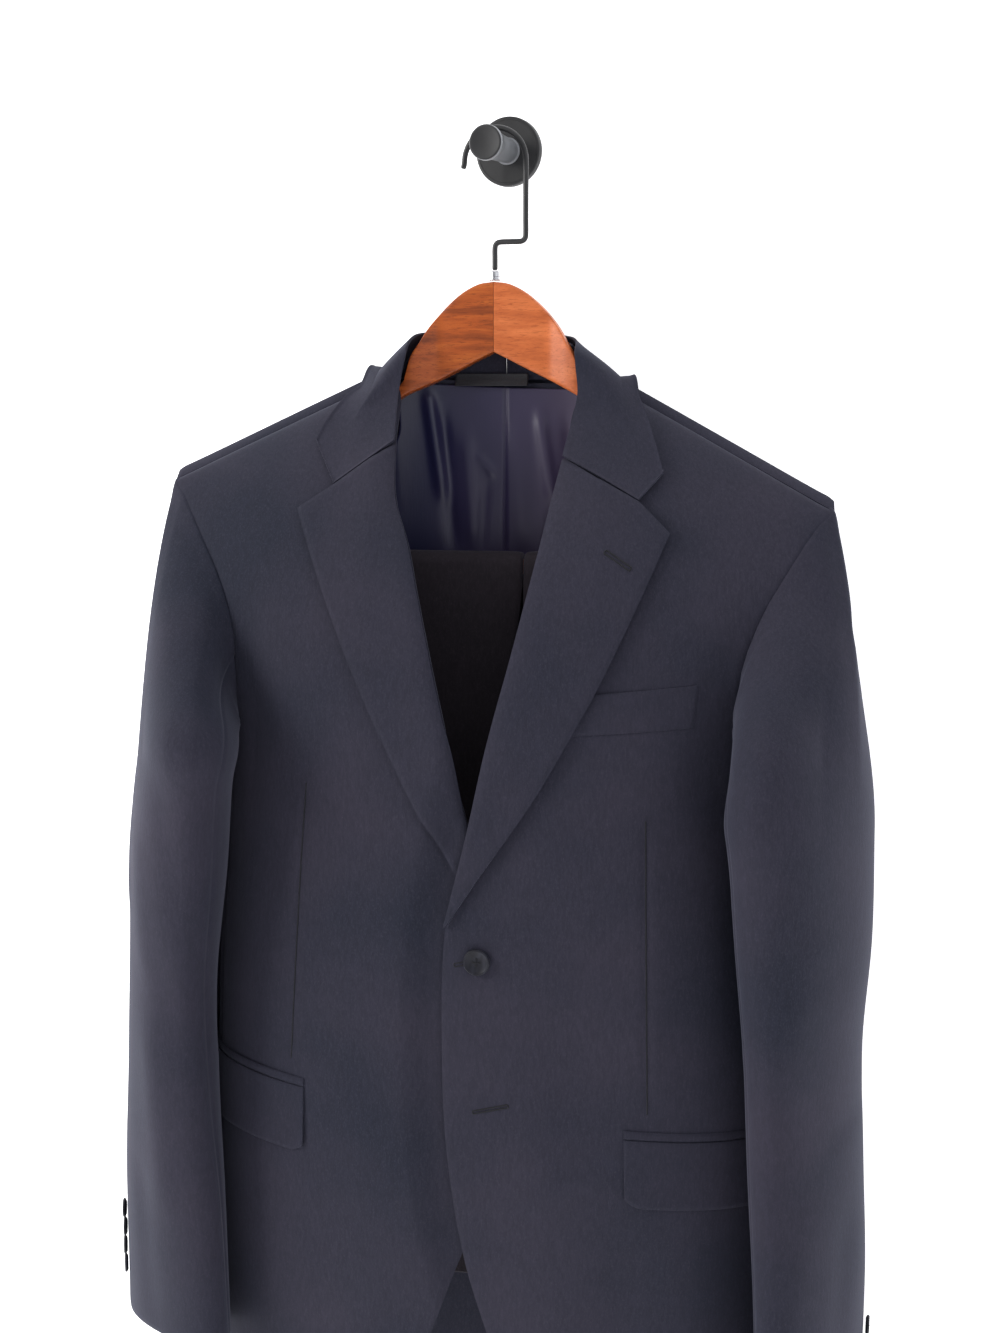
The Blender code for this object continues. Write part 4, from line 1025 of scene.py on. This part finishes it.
def ringReader(ring):
    closed = ring + ring[:1]
    where = [0.0]
    for (a, _), (b, _) in zip(closed, closed[1:]):
        where.append(where[-1] + (b - a).length)

    def read(share):
        target = (share % 1.0) * where[-1]
        i = next(n for n in range(len(ring)) if where[n + 1] >= target)
        t = (target - where[i]) / max(where[i + 1] - where[i], 1e-6)
        point = closed[i][0].lerp(closed[i + 1][0], t)
        return point, closed[i][1].lerp(closed[i + 1][1], t).normalized()
    return read


def sleeveRing(side, z, angle):
    x, short, turn = (sleeveRows.value(z, f"{name}_{sideName(side)}") for name in ("x", "short", "turn"))
    y, long, turn = sleeveRows.value(z, "y"), sleeveRows.value(z, "long"), radians(turn)
    a = radians(angle)
    x += -sin(turn) * long * cos(a) + cos(turn) * short * sin(a)
    # between biceps and cuff, the part that faces the body lies against it
    lean = exp(-((angle - sleeveCut["leanAngle"]) / sleeveCut["leanSpread"]) ** 2)
    lean *= smooth((sleeveCut["leanFrom"] - z) / 60) * smooth((z - sleeveCut["leanTo"]) / 80)
    x = lerp(x, min(x, bodyRows.value(z, "half") + sleeveCut["leanGap"]), lean)
    y += -cos(turn) * long * cos(a) - sin(turn) * short * sin(a)
    return Vector(world(side, x, y, z))


def sleevePatch(side, low, high):
    read = ringReader(armhole(side))

    def startOf(angle):
        share = (sleeveCut["topAngle"] - angle) / 360
        edge, out = read(share)
        along = read(share + 0.004)[0] - read(share - 0.004)[0]
        away = (out.cross(along) * side).normalized()
        reach = sleeveRing(side, sleeveCut["bicepsZ"], angle) - edge
        crown = 0.5 + 0.5 * cos(radians(angle - sleeveCut["topAngle"]))
        under = smooth(1 - 1.6 * crown)
        leave = reach + Vector((side * (0.15 + 0.45 * under), 0, 0.03 * crown)) * reach.length
        run = leave.normalized()
        normal = (out * run.dot(away) - away * max(run.dot(out), 0.0)).normalized()
        if normal.dot(out) < 0 and crown > 0.5:
            normal = out
        return edge + away * 0.1 + out * (0.2 + 1.0 * under), leave, normal

    def point(u, v):
        angle = lerp(low, high, u)
        if v < sleeveCut["capShare"]:
            start, leave, _ = startOf(angle)
            end = sleeveRing(side, sleeveCut["bicepsZ"], angle)
            size = (end - start).length
            arrive = (sleeveRing(side, sleeveCut["bicepsZ"] - 4, angle) - end).normalized() * size
            t = v / sleeveCut["capShare"]
            return tuple(start * (1 + 2 * t) * (1 - t) ** 2 + leave * t * (1 - t) ** 2
                         + end * t * t * (3 - 2 * t) - arrive * t * t * (1 - t))
        t = (v - sleeveCut["capShare"]) / (1 - sleeveCut["capShare"])
        slant = sleeveCut["cuffSlant"] * cos(radians(angle)) * smooth((t - 0.55) / 0.45)
        z = lerp(sleeveCut["bicepsZ"], sleeveCut["cuffZ"], t) + slant
        return tuple(sleeveRing(side, z, angle))

    def wallNormal(u, v):
        own = normalOf(point, u, v, side)
        first = startOf(lerp(low, high, u))[2]
        return first.lerp(own, smooth(v / 0.03)).normalized()
    return point, wallNormal


def tucked(made):
    # above its seam line the sleeve runs on inside the body, as its allowance does
    form, wallNormal = made

    def point(u, v):
        if v >= 0:
            return form(u, v)
        seam, below = Vector(form(u, 0)), Vector(form(u, 0.012))
        share = v / -0.02
        onward = (seam - below).normalized() * 9 * share
        return tuple(seam + onward - Vector(wallNormal(u, 0)) * 3.4 * share)
    return point


def buildSleeves(side):
    letter = "L" if side > 0 else "R"
    gap = sleeveCut["gap"]
    rows = [-0.02, -0.01] + list(np.array(packed(52, 0, width=0.05)) * sleeveCut["capShare"])
    rows += [lerp(sleeveCut["capShare"], 1, (n + 1) / 92) for n in range(92)]
    spans = (("top", sleeveCut["foreSeam"] + gap, sleeveCut["hindSeam"] - gap, 72),
             ("under", sleeveCut["hindSeam"] + gap, sleeveCut["foreSeam"] + 360 - gap, 56))
    for kind, low, high, count in spans:
        point = tucked(sleevePatch(side, low, high))

        def sleeveShape(grid, u, v, borders, kind=kind):
            height = softHeight(grid, 0.013, 1.2, 20.0 + side) + foldsOf(grid, sleeveFolds[side])
            # the crown is eased over the shoulder in a low roll
            height += 1.3 * np.exp(-((borders["top"] - 9) / 8) ** 2) * (kind == "top")
            near = np.clip(borders["top"] / 26, 0, 1) * np.clip(borders["left"] / 10, 0, 1)
            height *= near * np.clip(borders["right"] / 10, 0, 1)
            # below the armhole the fore side rests against the body
            x, y, z = (grid[..., k] for k in range(3))
            inward = np.clip((236 - x * side) / 34, 0, 1) * np.clip((-78 - y) / 30, 0, 1)
            level, reach, most = rest["sleeve"][side]
            fromSeam = np.clip(borders["top"] / 24, 0, 1)
            return height + most * inward * fromSeam * np.exp(-((z - level) / reach) ** 2)
        node = f"{kind}_sleeve_{letter}"
        clothPiece(f"{kind}Sleeve{letter}", point, side, packed(count, 0, 1, width=0.03), rows, "cloth", [node],
                   suit["wall"],
                   edges={"left": (0.7, 2.4), "right": (0.7, 2.4), "top": (0.5, 2.0), "bottom": (0.5, 2.0)},
                   shape=sleeveShape)


# lapels and collar
lapel = {
    "lift": 2.0, "roll": 2.2,
    "outer": {
        1: ((107, -246), (129, -266), (112, -308), (85, -368), (66, -404), (42, -448), (6, -504), (-17.2, -541)),
        -1: ((109, -245), (134, -262), (109, -319), (92, -356), (72, -397), (42, -456), (9, -510), (-1.2, -528)),
    },
    "end": {1: (-18.6, -541.5), -1: (-3.4, -529)},
    "gorge": {1: (52.6, -219), -1: (67.4, -214)},
}
collar = {
    "tip": {1: (123, -227), -1: (128, -215)},
    "outer": {1: ((108, -188), (116, -207)), -1: ((111, -183), (122, -200))},
    "neck": {1: 54.0, -1: 63.0}, "top": -129.0, "low": -177.0,
}


def lapelPatch(side):
    notch, tip, *outside = lapel["outer"][side]
    start, end = lapel["gorge"][side], lapel["end"][side]
    roll = [p for p in (edgeLeft if side > 0 else edgeRight) if end[1] + 4 < p[1] < start[1] - 4]
    inner = Line(start, *roll, end)
    outer = Line(tip, *outside)
    top = Line(start, notch, tip, curved=False)
    bottom = Line(end, outside[-1], curved=False)

    def point(u, v):
        return frontBase(side, *patch(top, bottom, inner, outer, u, v))

    def lift(u, v):
        rollShare = u / 0.2 * exp(1 - u / 0.2)
        return lapel["lift"] + lapel["roll"] * rollShare * smooth((1 - v) * 3)
    return point, lift


def buildLapel(side):
    point, lift = lapelPatch(side)
    name = sideName(side)

    def rises(u, v):
        # the patch lies on the wall's outside, so the wall's own thickness is added
        return lift(u, v) + suit["wall"] + 1.8 * u

    def lapelShape(grid, u, v, borders):
        height = softHeight(grid, 0.014, 0.7, 31.0 + side)
        return height * np.clip(borders["left"] / 20, 0, 1) * np.clip(borders["right"] / 20, 0, 1)
    clothPiece("lapel" + name.title(), shrink(point, top=0.3), side, packed(48, 0, 1, width=0.05),
               packed(130, 0, 1, width=0.01), "cloth", ["lapel_" + name], suit["wall"], rises=rises,
               edges={"right": (0.8, 2.2), "top": (0.6, 2.0), "bottom": (0.6, 2.0)}, shape=lapelShape,
               roundEdge=0.6)


def onFront(side, x, z, lift):
    x, y, z = frontBase(side, x, z)
    return x, y - 0.85 * lift, z + 0.5 * lift


def onBack(side, x, z, lift):
    y, z = backPoint(x, z)
    x, y, z = world(side, x, y, z)
    return x, y + 0.9 * lift, z + 0.4 * lift


def collarPatch(side):
    edgePoints = edgeLeft if side > 0 else edgeRight
    neck, gorge = collar["neck"][side], lapel["gorge"][side]
    notch, tip = lapel["outer"][side][0], collar["tip"][side]
    roll = Line(
        world(side, 0.15, -14.5, collar["top"]), world(side, neck * 0.45, -15.6, collar["top"]),
        world(side, neck * 0.84, -22.5, collar["top"] - 3), world(side, neck, -38, collar["top"] - 7),
        world(side, neck + 2, -55, collar["top"] - 16),
        onFront(side, *edgePoints[0], 7), onFront(side, *gorge, 5))
    edge = Line(
        onBack(side, 0.15, collar["low"], 4.0), onBack(side, 36, collar["low"] - 1, 5.0),
        onBack(side, 68, collar["low"] - 6, 7.0), onBack(side, 88, collar["low"] - 9, 8.0),
        world(side, 96.5, seamY(97) + 7, seamZ(97) + suit["ridgeRise"] + 6.5),
        onFront(side, 101, -176, 5.0), *[onFront(side, x, z, 3.2) for x, z in collar["outer"][side]],
        onFront(side, *tip, 2.8))
    edge.bend = (0.43, edge.share(4))
    middle = Line(roll.at(0), edge.at(0), curved=False)
    front = Line(roll.at(1), onFront(side, *notch, 2.8), edge.at(1), curved=False)

    def point(u, v):
        place = Vector(patch(middle, front, roll, edge, u, v))
        bulge = 2.0 * sin(pi * u) * (1 - smooth((v - 0.7) * 4))
        forward = smooth((v - 0.3) * 4)
        return tuple(place + Vector((side * 0.3, 0.7 - 1.3 * forward, 0.6)).normalized() * bulge)
    return point, front.share(1)


def buildCollar(side):
    point, notch = collarPatch(side)
    name = sideName(side)
    clothPiece("collarFall" + name.title(), shrink(point, bottom=0.3), -side, packed(44, notch, 1, width=0.05),
               packed(100, 1, width=0.02), "cloth", ["collar_fall_" + name], suit["wall"],
               edges={"right": (0.8, 2.2), "bottom": (0.5, 1.6)}, roundEdge=0.6)

    def stand(u, v):
        t = v * 0.38
        turn = smooth(t / 0.34)
        inward = Vector((-side * turn, -1 + turn, 0)).normalized() * 2.7
        top = Vector(point(0, t)) + inward + Vector((side * 0.3, 0, -3.5))
        neckX = max((suit["neckX"] - 3) * v ** 0.95, 0.5)
        lowY, lowZ = backTop(neckX)
        low = Vector(world(side, neckX, lowY - 1.2, lowZ + 2.6))
        return tuple(top.lerp(low, u))
    clothPiece("collarStand" + name.title(), stand, -side, even(10), even(46), "cloth", ["collar_stand_" + name],
               1.2, roundEdge=0.3)


# pockets
pocket = {"inner": {1: 107.0, -1: 124.0}, "outerAngle": 88.0, "jetTop": -672.0, "flapTop": -678.6, "flapBottom": -728.0,
          "jetThick": 0.9, "flapThick": 1.3}
weltCorners = ((64, -374.5), (152, -362), (149, -390), (52, -402.5))


def bodyBand(side, angleIn, angleOut, top, bottom):
    def point(u, v):
        z = lerp(top, bottom, v)
        x, y = section(z, lerp(angleIn, angleOut, u))
        return world(side, x, y, z)
    return point


def angleAt(x, z):
    return degrees(asin(min(x / bodyRows.value(z, "half"), 1.0) ** (suit["frontRound"] / 2)))


def buildPocket(side):
    letter = "L" if side > 0 else "R"
    start = angleAt(pocket["inner"][side], pocket["flapTop"])
    jet = bodyBand(side, start, pocket["outerAngle"], pocket["jetTop"], pocket["flapTop"] + 0.4)
    flapForm = bodyBand(side, start, pocket["outerAngle"], pocket["flapTop"], pocket["flapBottom"])

    def flap(u, v):
        # the front corner is rounded and the outer one is square
        corner = max(0.0, 1 - u / 0.07) ** 2
        return flapForm(u, v * (1 - 0.12 * corner))
    gap, thin = suit["layGap"] + 0.1, pocket["jetThick"]
    clothPiece("pocketJet" + letter, jet, side, packed(70, 0, width=0.02), even(10), "cloth",
               ["pocket_jet_" + letter], thin, rises=lambda u, v: gap + thin,
               edges={"left": (0.4, 1.0), "top": (0.6, 1.2), "bottom": (0.5, 1.0)}, roundEdge=0.3)
    lift, thick = suit["layGap"] + 0.2, pocket["flapThick"]

    def flapLift(u, v):
        # the lower edge stands a little away
        return lift + thick + 1.1 * v * v
    clothPiece("pocketFlap" + letter, flap, side, packed(70, 0, width=0.04), packed(30, 0, 1, width=0.05), "cloth",
               ["pocket_flap_" + letter], thick, rises=flapLift,
               edges={"left": (0.5, 1.4), "bottom": (0.6, 1.6), "top": (0.3, 1.0)}, roundEdge=0.45)


def buildWelt():
    topIn, topOut, lowOut, lowIn = weltCorners
    top, bottom = Line(topIn, topOut, curved=False), Line(lowIn, lowOut, curved=False)
    inner, outer = Line(topIn, lowIn, curved=False), Line(topOut, lowOut, curved=False)

    def point(u, v):
        return frontBase(1, *patch(top, bottom, inner, outer, u, v))
    clothPiece("breastWelt", point, 1, packed(60, 1, width=0.03), packed(22, 0, 1, width=0.06), "cloth",
               ["breast_welt"], 1.1, rises=lambda u, v: suit["layGap"] + 1.1,
               edges={"right": (0.7, 1.4), "top": (0.4, 1.6), "bottom": (0.8, 1.6)}, roundEdge=0.4)


# buttons
buttons = {"frontSize": 19.0, "frontThick": 3.6, "cuffSize": 14.6, "cuffThick": 2.8,
           "cuffLevels": (-826.0, -841.2, -856.4, -871.6), "upper": (5.0, -563.0), "lower": (9.0, -668.0),
           "holeOut": 1.75, "holeSize": 1.05, "holeLift": 0.08, "threadSize": 0.28, "seat": 0.5}


def addButton(name, centre, axis, size, thick, nodes):
    # a sewn button: rim, dished face, four holes as flat dark discs of painted shade, and crossed thread
    axis = Vector(axis).normalized()
    side = axis.orthogonal().normalized()
    up = axis.cross(side)
    r, t = size / 2, thick
    turnedPiece(name, [(0, 0), (r - 2.2, 0), (r - 0.6, t * 0.3), (r, t * 0.5), (r - 0.1, t * 0.75),
                       (r - 0.6, t * 0.95), (r - 1.2, t), (r - 1.9, t * 0.9), (r - 2.6, t * 0.72), (0, t * 0.70)],
                centre, axis, "horn", nodes, 56, 50)
    scale = size / buttons["frontSize"]
    corners = [Vector((a, b)) for a in (-1, 1) for b in (-1, 1)]
    points, faces = [], []
    count = 16
    for corner in corners:
        middle = Vector(centre) + axis * (t * 0.72 + buttons["holeLift"])
        middle += (side * corner.x + up * corner.y) * buttons["holeOut"] * scale
        first = len(points)
        turns = [2 * pi * n / count for n in range(count)]
        points += [middle + (side * cos(a) + up * sin(a)) * buttons["holeSize"] * scale for a in turns]
        faces.append(tuple(range(first, first + count)))
    # the four holes are flat dark discs on the face: painted shade in the holes, in the thread's dark colour
    holeShades = newObject(name + "Holes", points, faces)
    finishPiece(holeShades, "threadAndPaintedShade", [])
    for number, (a, b) in enumerate(((0, 3), (1, 2))):
        reach = buttons["holeOut"] * scale
        ends = [Vector(centre) + axis * (t * 0.74) + (side * corners[k].x + up * corners[k].y) * reach
                for k in (a, b)]
        middle = (ends[0] + ends[1]) / 2 + axis * (0.5 + 0.25 * number)
        rod(f"{name}Thread{number}", smoothRoute([ends[0], middle, ends[1]], 0.8),
            buttons["threadSize"] * scale, "threadAndPaintedShade", [], 8, axis)


def buildFrontButtons():
    # the upper one is buttoned; the lower one sits on the front underneath and is a little thinner
    for name, push, share in (("upper", 0.0, 1.0), ("lower", suit["overlapPush"], 0.8)):
        x, z = buttons[name]
        here = Vector(world(1, x, frontY(x, z) + push - buttons["seat"], z))
        addButton("button" + name.title(), here, (0, -1, 0), buttons["frontSize"], buttons["frontThick"] * share,
                  ["button_" + name])


def buildCuffButtons(side):
    letter = "L" if side > 0 else "R"
    for number, level in enumerate(buttons["cuffLevels"], 1):
        angle = sleeveCut["hindSeam"] - 12
        here = sleeveRing(side, level, angle)
        across = sleeveRing(side, level, angle + 2) - sleeveRing(side, level, angle - 2)
        up = sleeveRing(side, level + 4, angle) - sleeveRing(side, level - 4, angle)
        out = across.cross(up).normalized() * side
        if (here - Vector((side * 239, -112, here.z))).dot(out) < 0:
            out = -out
        addButton(f"cuffButton{letter}{number}", here + out * (suit["layGap"] + buttons["seat"] + 0.25 * (number % 2)), out,
                  buttons["cuffSize"], buttons["cuffThick"], [f"cuff_button_{letter}{number}"])


# stitch lines, laid on the built surface: buttonholes in thread darkened with painted shade, and darts as dark lines of
# painted shade
stitchAndShadeLines = {
    "lapelHole": {"on": "lapelLeft", "start": (87.0, -281.8), "end": (104.4, -293.3), "width": 2.4, "thick": 0.6},
    "upperHole": {"on": "frontLeft", "start": (5.0, -563.0), "end": (-11.0, -567.0), "width": 2.2, "thick": 0.45},
    "lowerHole": {"on": "frontLeft", "start": (2.2, -672.3), "end": (27.0, -665.9), "width": 2.0, "thick": 0.55},
    # the darts are dark lines of painted shade along the seam
    "dartLeft": {"on": "frontLeft", "start": darts[1][0], "end": darts[1][1], "width": 0, "thick": 0.5},
    "dartRight": {"on": "frontRight", "start": darts[-1][0], "end": darts[-1][1], "width": 0, "thick": 0.5},
}


def layLine(name, rows):
    tree = BVHTree.FromObject(bpy.data.objects[rows["on"]], bpy.context.evaluated_depsgraph_get())
    (x0, z0), (x1, z1) = rows["start"], rows["end"]
    length = hypot(x1 - x0, z1 - z0)
    ax, az, half = (x1 - x0) / length, (z1 - z0) / length, rows["width"] / 2
    count = max(int(length / 3), 8)
    shares = list(np.linspace(0, length, count))
    if half:
        outline = [(t, half) for t in shares] + [(t, -half) for t in shares[::-1]] + [(0, half)]
    else:
        outline = [(t, 0) for t in shares]
    line = []
    for t, s in outline:
        x, z = x0 + ax * t - az * s, z0 + az * t + ax * s
        # looked for from well in front, straight back
        hit, normal, _, _ = tree.ray_cast(Vector((x, -400, z)) * mm, Vector((0, 1, 0)))
        if hit:
            line.append(hit / mm + normal * 0.05)
    # drawn in the dark thread finish, which paints the shade along buttonholes and darts
    rod(name, smoothRoute(line, 0.9), rows["thick"], "threadAndPaintedShade", [], 8)


# lining and neck label
liningCut = {"low": -430.0, "stand": 3.0, "thick": 0.8}
liningFolds = [
    # start, end, width, depth: soft hangs below the neck
    ((-60, -160), (-44, -262), 4.5, 4.2), ((-48, -175), (-38, -300), 5.0, -2.4), ((24, -180), (37, -262), 5.0, 2.6),
    ((-22, -218), (-6, -236), 3.0, 1.5), ((-30, -190), (-22, -300), 6.0, 1.9), ((46, -180), (52, -290), 6.0, -2.2),
    ((8, -180), (14, -300), 7.0, 1.2), ((-14, -232), (-20, -300), 4.0, -1.2), ((30, -250), (22, -310), 6.0, 1.4),
]


def buildLining(side):
    def point(u, v):
        x = lerp(0.1, lerp(78, 150, smooth((v - 0.12) * 2.6)), u)
        z = lerp(backTop(x)[1] - 4, liningCut["low"], v)
        y, _ = backPoint(x, z)
        return world(side, x, y - suit["wall"] - lerp(1.2, liningCut["stand"], smooth(v * 3)), z)

    def liningShape(grid, u, v, borders):
        # soft hangs, and the pressed seam down the middle
        height = foldsOf(grid, liningFolds) * np.clip(borders["top"] / 10, 0, 1)
        return height + 1.2 * np.exp(-(borders["left"] / 1.8) ** 2)
    name = sideName(side)
    clothPiece("lining" + name.title(), point, -side, packed(60, 0, width=0.05), packed(96, 0, width=0.04),
               "satin", ["lining_" + name], liningCut["thick"], shape=liningShape, roundEdge=0)


labelCut = {"left": -37.0, "right": 17.0, "top": -160.0, "bottom": -169.0, "thick": 0.5}


def buildLabel():
    def point(u, v):
        x = lerp(labelCut["left"], labelCut["right"], u)
        z = lerp(labelCut["top"], labelCut["bottom"], v)
        y = backPoint(x, min(z, suit["neckBackZ"]))[0]
        curl = 0.9 * sin(pi * u * 1.5) * v
        return x, y - suit["wall"] - 1.6 - 2.2 * (x / suit["neckX"]) ** 2 - 4.6 * v * v - curl, z
    clothPiece("neckLabel", point, -1, even(40), even(16), "label", ["neck_label"],
               labelCut["thick"], roundEdge=0)


# trousers folded over the bar
legCut = {"thick": 4.4, "cloth": 1.3, "barGap": 0.4, "creasePower": 26, "frontEnd": -806.0, "backEnd": -812.0,
          "bandDrop": 38.0, "bandRight": -150.0, "bandLeft": 158.0}
rightLegRows = Table("z inner outer", (-286, 20.6, -178), (-310, 20.4, -177), (-350, 16, -175), (-400, 8.5, -172),
                     (-470, -1, -170), (-560, -12, -168), (-806, -30, -160))
leftLegRows = Table("z inner outer", (-286, 20.8, 168), (-470, 21, 166), (-806, 24, 160))


def legPath():
    # down the front, over the bar and down the back, as (y, z)
    ride = hanger["barDiameter"] / 2 + legCut["barGap"] + legCut["thick"]
    y0, z0 = hanger["barY"], hanger["barLevel"]
    over = [(y0 - ride * cos(a), z0 + ride * sin(a)) for a in np.linspace(0, pi, 25)]
    front = [(y0 - ride - 6 * smooth((z0 - z) / 250), z) for z in np.linspace(legCut["frontEnd"], z0 - 6, 60)]
    back = [(y0 + ride - 4 * smooth((z0 - z) / 200), z) for z in np.linspace(z0 - 6, legCut["backEnd"], 50)]
    return front + over + back


def buildLeg(name, rows, node):
    # a pressed leg in section: two layers with a rounded crease at each edge, swept along the path
    path = np.array(legPath())
    step = np.gradient(path, axis=0)
    step /= np.linalg.norm(step, axis=1, keepdims=True)
    outwardYz = np.stack([-step[:, 1], step[:, 0]], axis=1)
    half = legCut["thick"] / 2
    across = packed(40, 0, 1, width=0.03)
    loop = [(u, -1) for u in across] + [(u, 1) for u in across[::-1]]
    points = []
    for (y, z), (ny, nz) in zip(path, outwardYz):
        inner, outer = rows.value(z, "inner"), rows.value(z, "outer")
        for u, face in loop:
            edge = sqrt(max(1 - abs(2 * u - 1) ** legCut["creasePower"], 0.0))
            x = lerp(inner, outer, u)
            lump = 0.7 * noise.noise(Vector((x * 0.012, z * 0.006, 4.0 + face)))
            rise = (half * edge * (1 if face < 0 else -1)) - half + lump * edge * (face < 0)
            points.append((x, y + ny * rise, z + nz * rise))
    obj = newObject(name, points, ringFaces(len(path), len(loop)))
    shadeSolid(obj, 60)
    shell = obj.modifiers.new("thickness", "SOLIDIFY")
    shell.thickness = legCut["cloth"] * mm
    shell.offset = -1
    finishPiece(obj, "trousers", [node])
    width = (rows.value(-500, "outer") - rows.value(-500, "inner")) * mm


def buildWaistband():
    y = hanger["barY"] + hanger["barDiameter"] / 2 + legCut["barGap"] + legCut["thick"] - 4

    def point(u, v):
        z = legCut["backEnd"] - 0.4 - legCut["bandDrop"] * v
        return lerp(legCut["bandRight"], legCut["bandLeft"], u), y + 0.5 * sin(pi * v), z
    clothPiece("trouserWaistband", point, -1, packed(60, 0, 1), even(20), "trousers", ["trouser_waistband"],
               legCut["thick"], roundEdge=1.2)


room = {"half": 6000.0, "middle": -500.0, "floor": -1500.0, "low": -2500.0, "high": 4000.0, "behind": 0.2}


def buildStage():
    # the wall behind the plate, and the floor far below
    half, low, high = room["half"], room["low"], room["high"]
    centre = Vector((0, 0, room["middle"])) - outward * room["behind"]
    wallPoints = [centre + alongWall * x + Vector((0, 0, z)) for x, z in
                  ((-half, low), (half, low), (half, high), (-half, high))]
    wall = newObject("roomWall", wallPoints, [(0, 1, 2, 3)])
    floorPoints = [centre + alongWall * x + outward * y + Vector((0, 0, room["floor"])) for x, y in
                   ((-half, 0), (-half, half), (half, half), (half, 0))]
    floor = newObject("roomFloor", floorPoints, [(0, 1, 2, 3)])
    for obj in (wall, floor):
        obj.data.materials.append(paleWall(obj.name + "Paint"))


addCamera()
addLights()
print("camera and lights")
buildPeg()
buildHook()
buildHanger()
print("peg, hook and hanger")
for side in (1, -1):
    buildBody(side)
    buildSleeves(side)
    buildCuffButtons(side)
    print("body and sleeve", sideName(side))
    buildLapel(side)
    buildCollar(side)
    buildPocket(side)
    buildLining(side)
    print("lapel, collar, pocket and lining", sideName(side))
buildWelt()
buildFrontButtons()
for name, rows in stitchAndShadeLines.items():
    layLine(name, rows)
buildLabel()
print("welt, buttons and label")
buildLeg("trouserLegRight", rightLegRows, "trouser_leg_right")
buildLeg("trouserLegLeft", leftLegRows, "trouser_leg_left")
buildWaistband()
print("trousers")
buildStage()
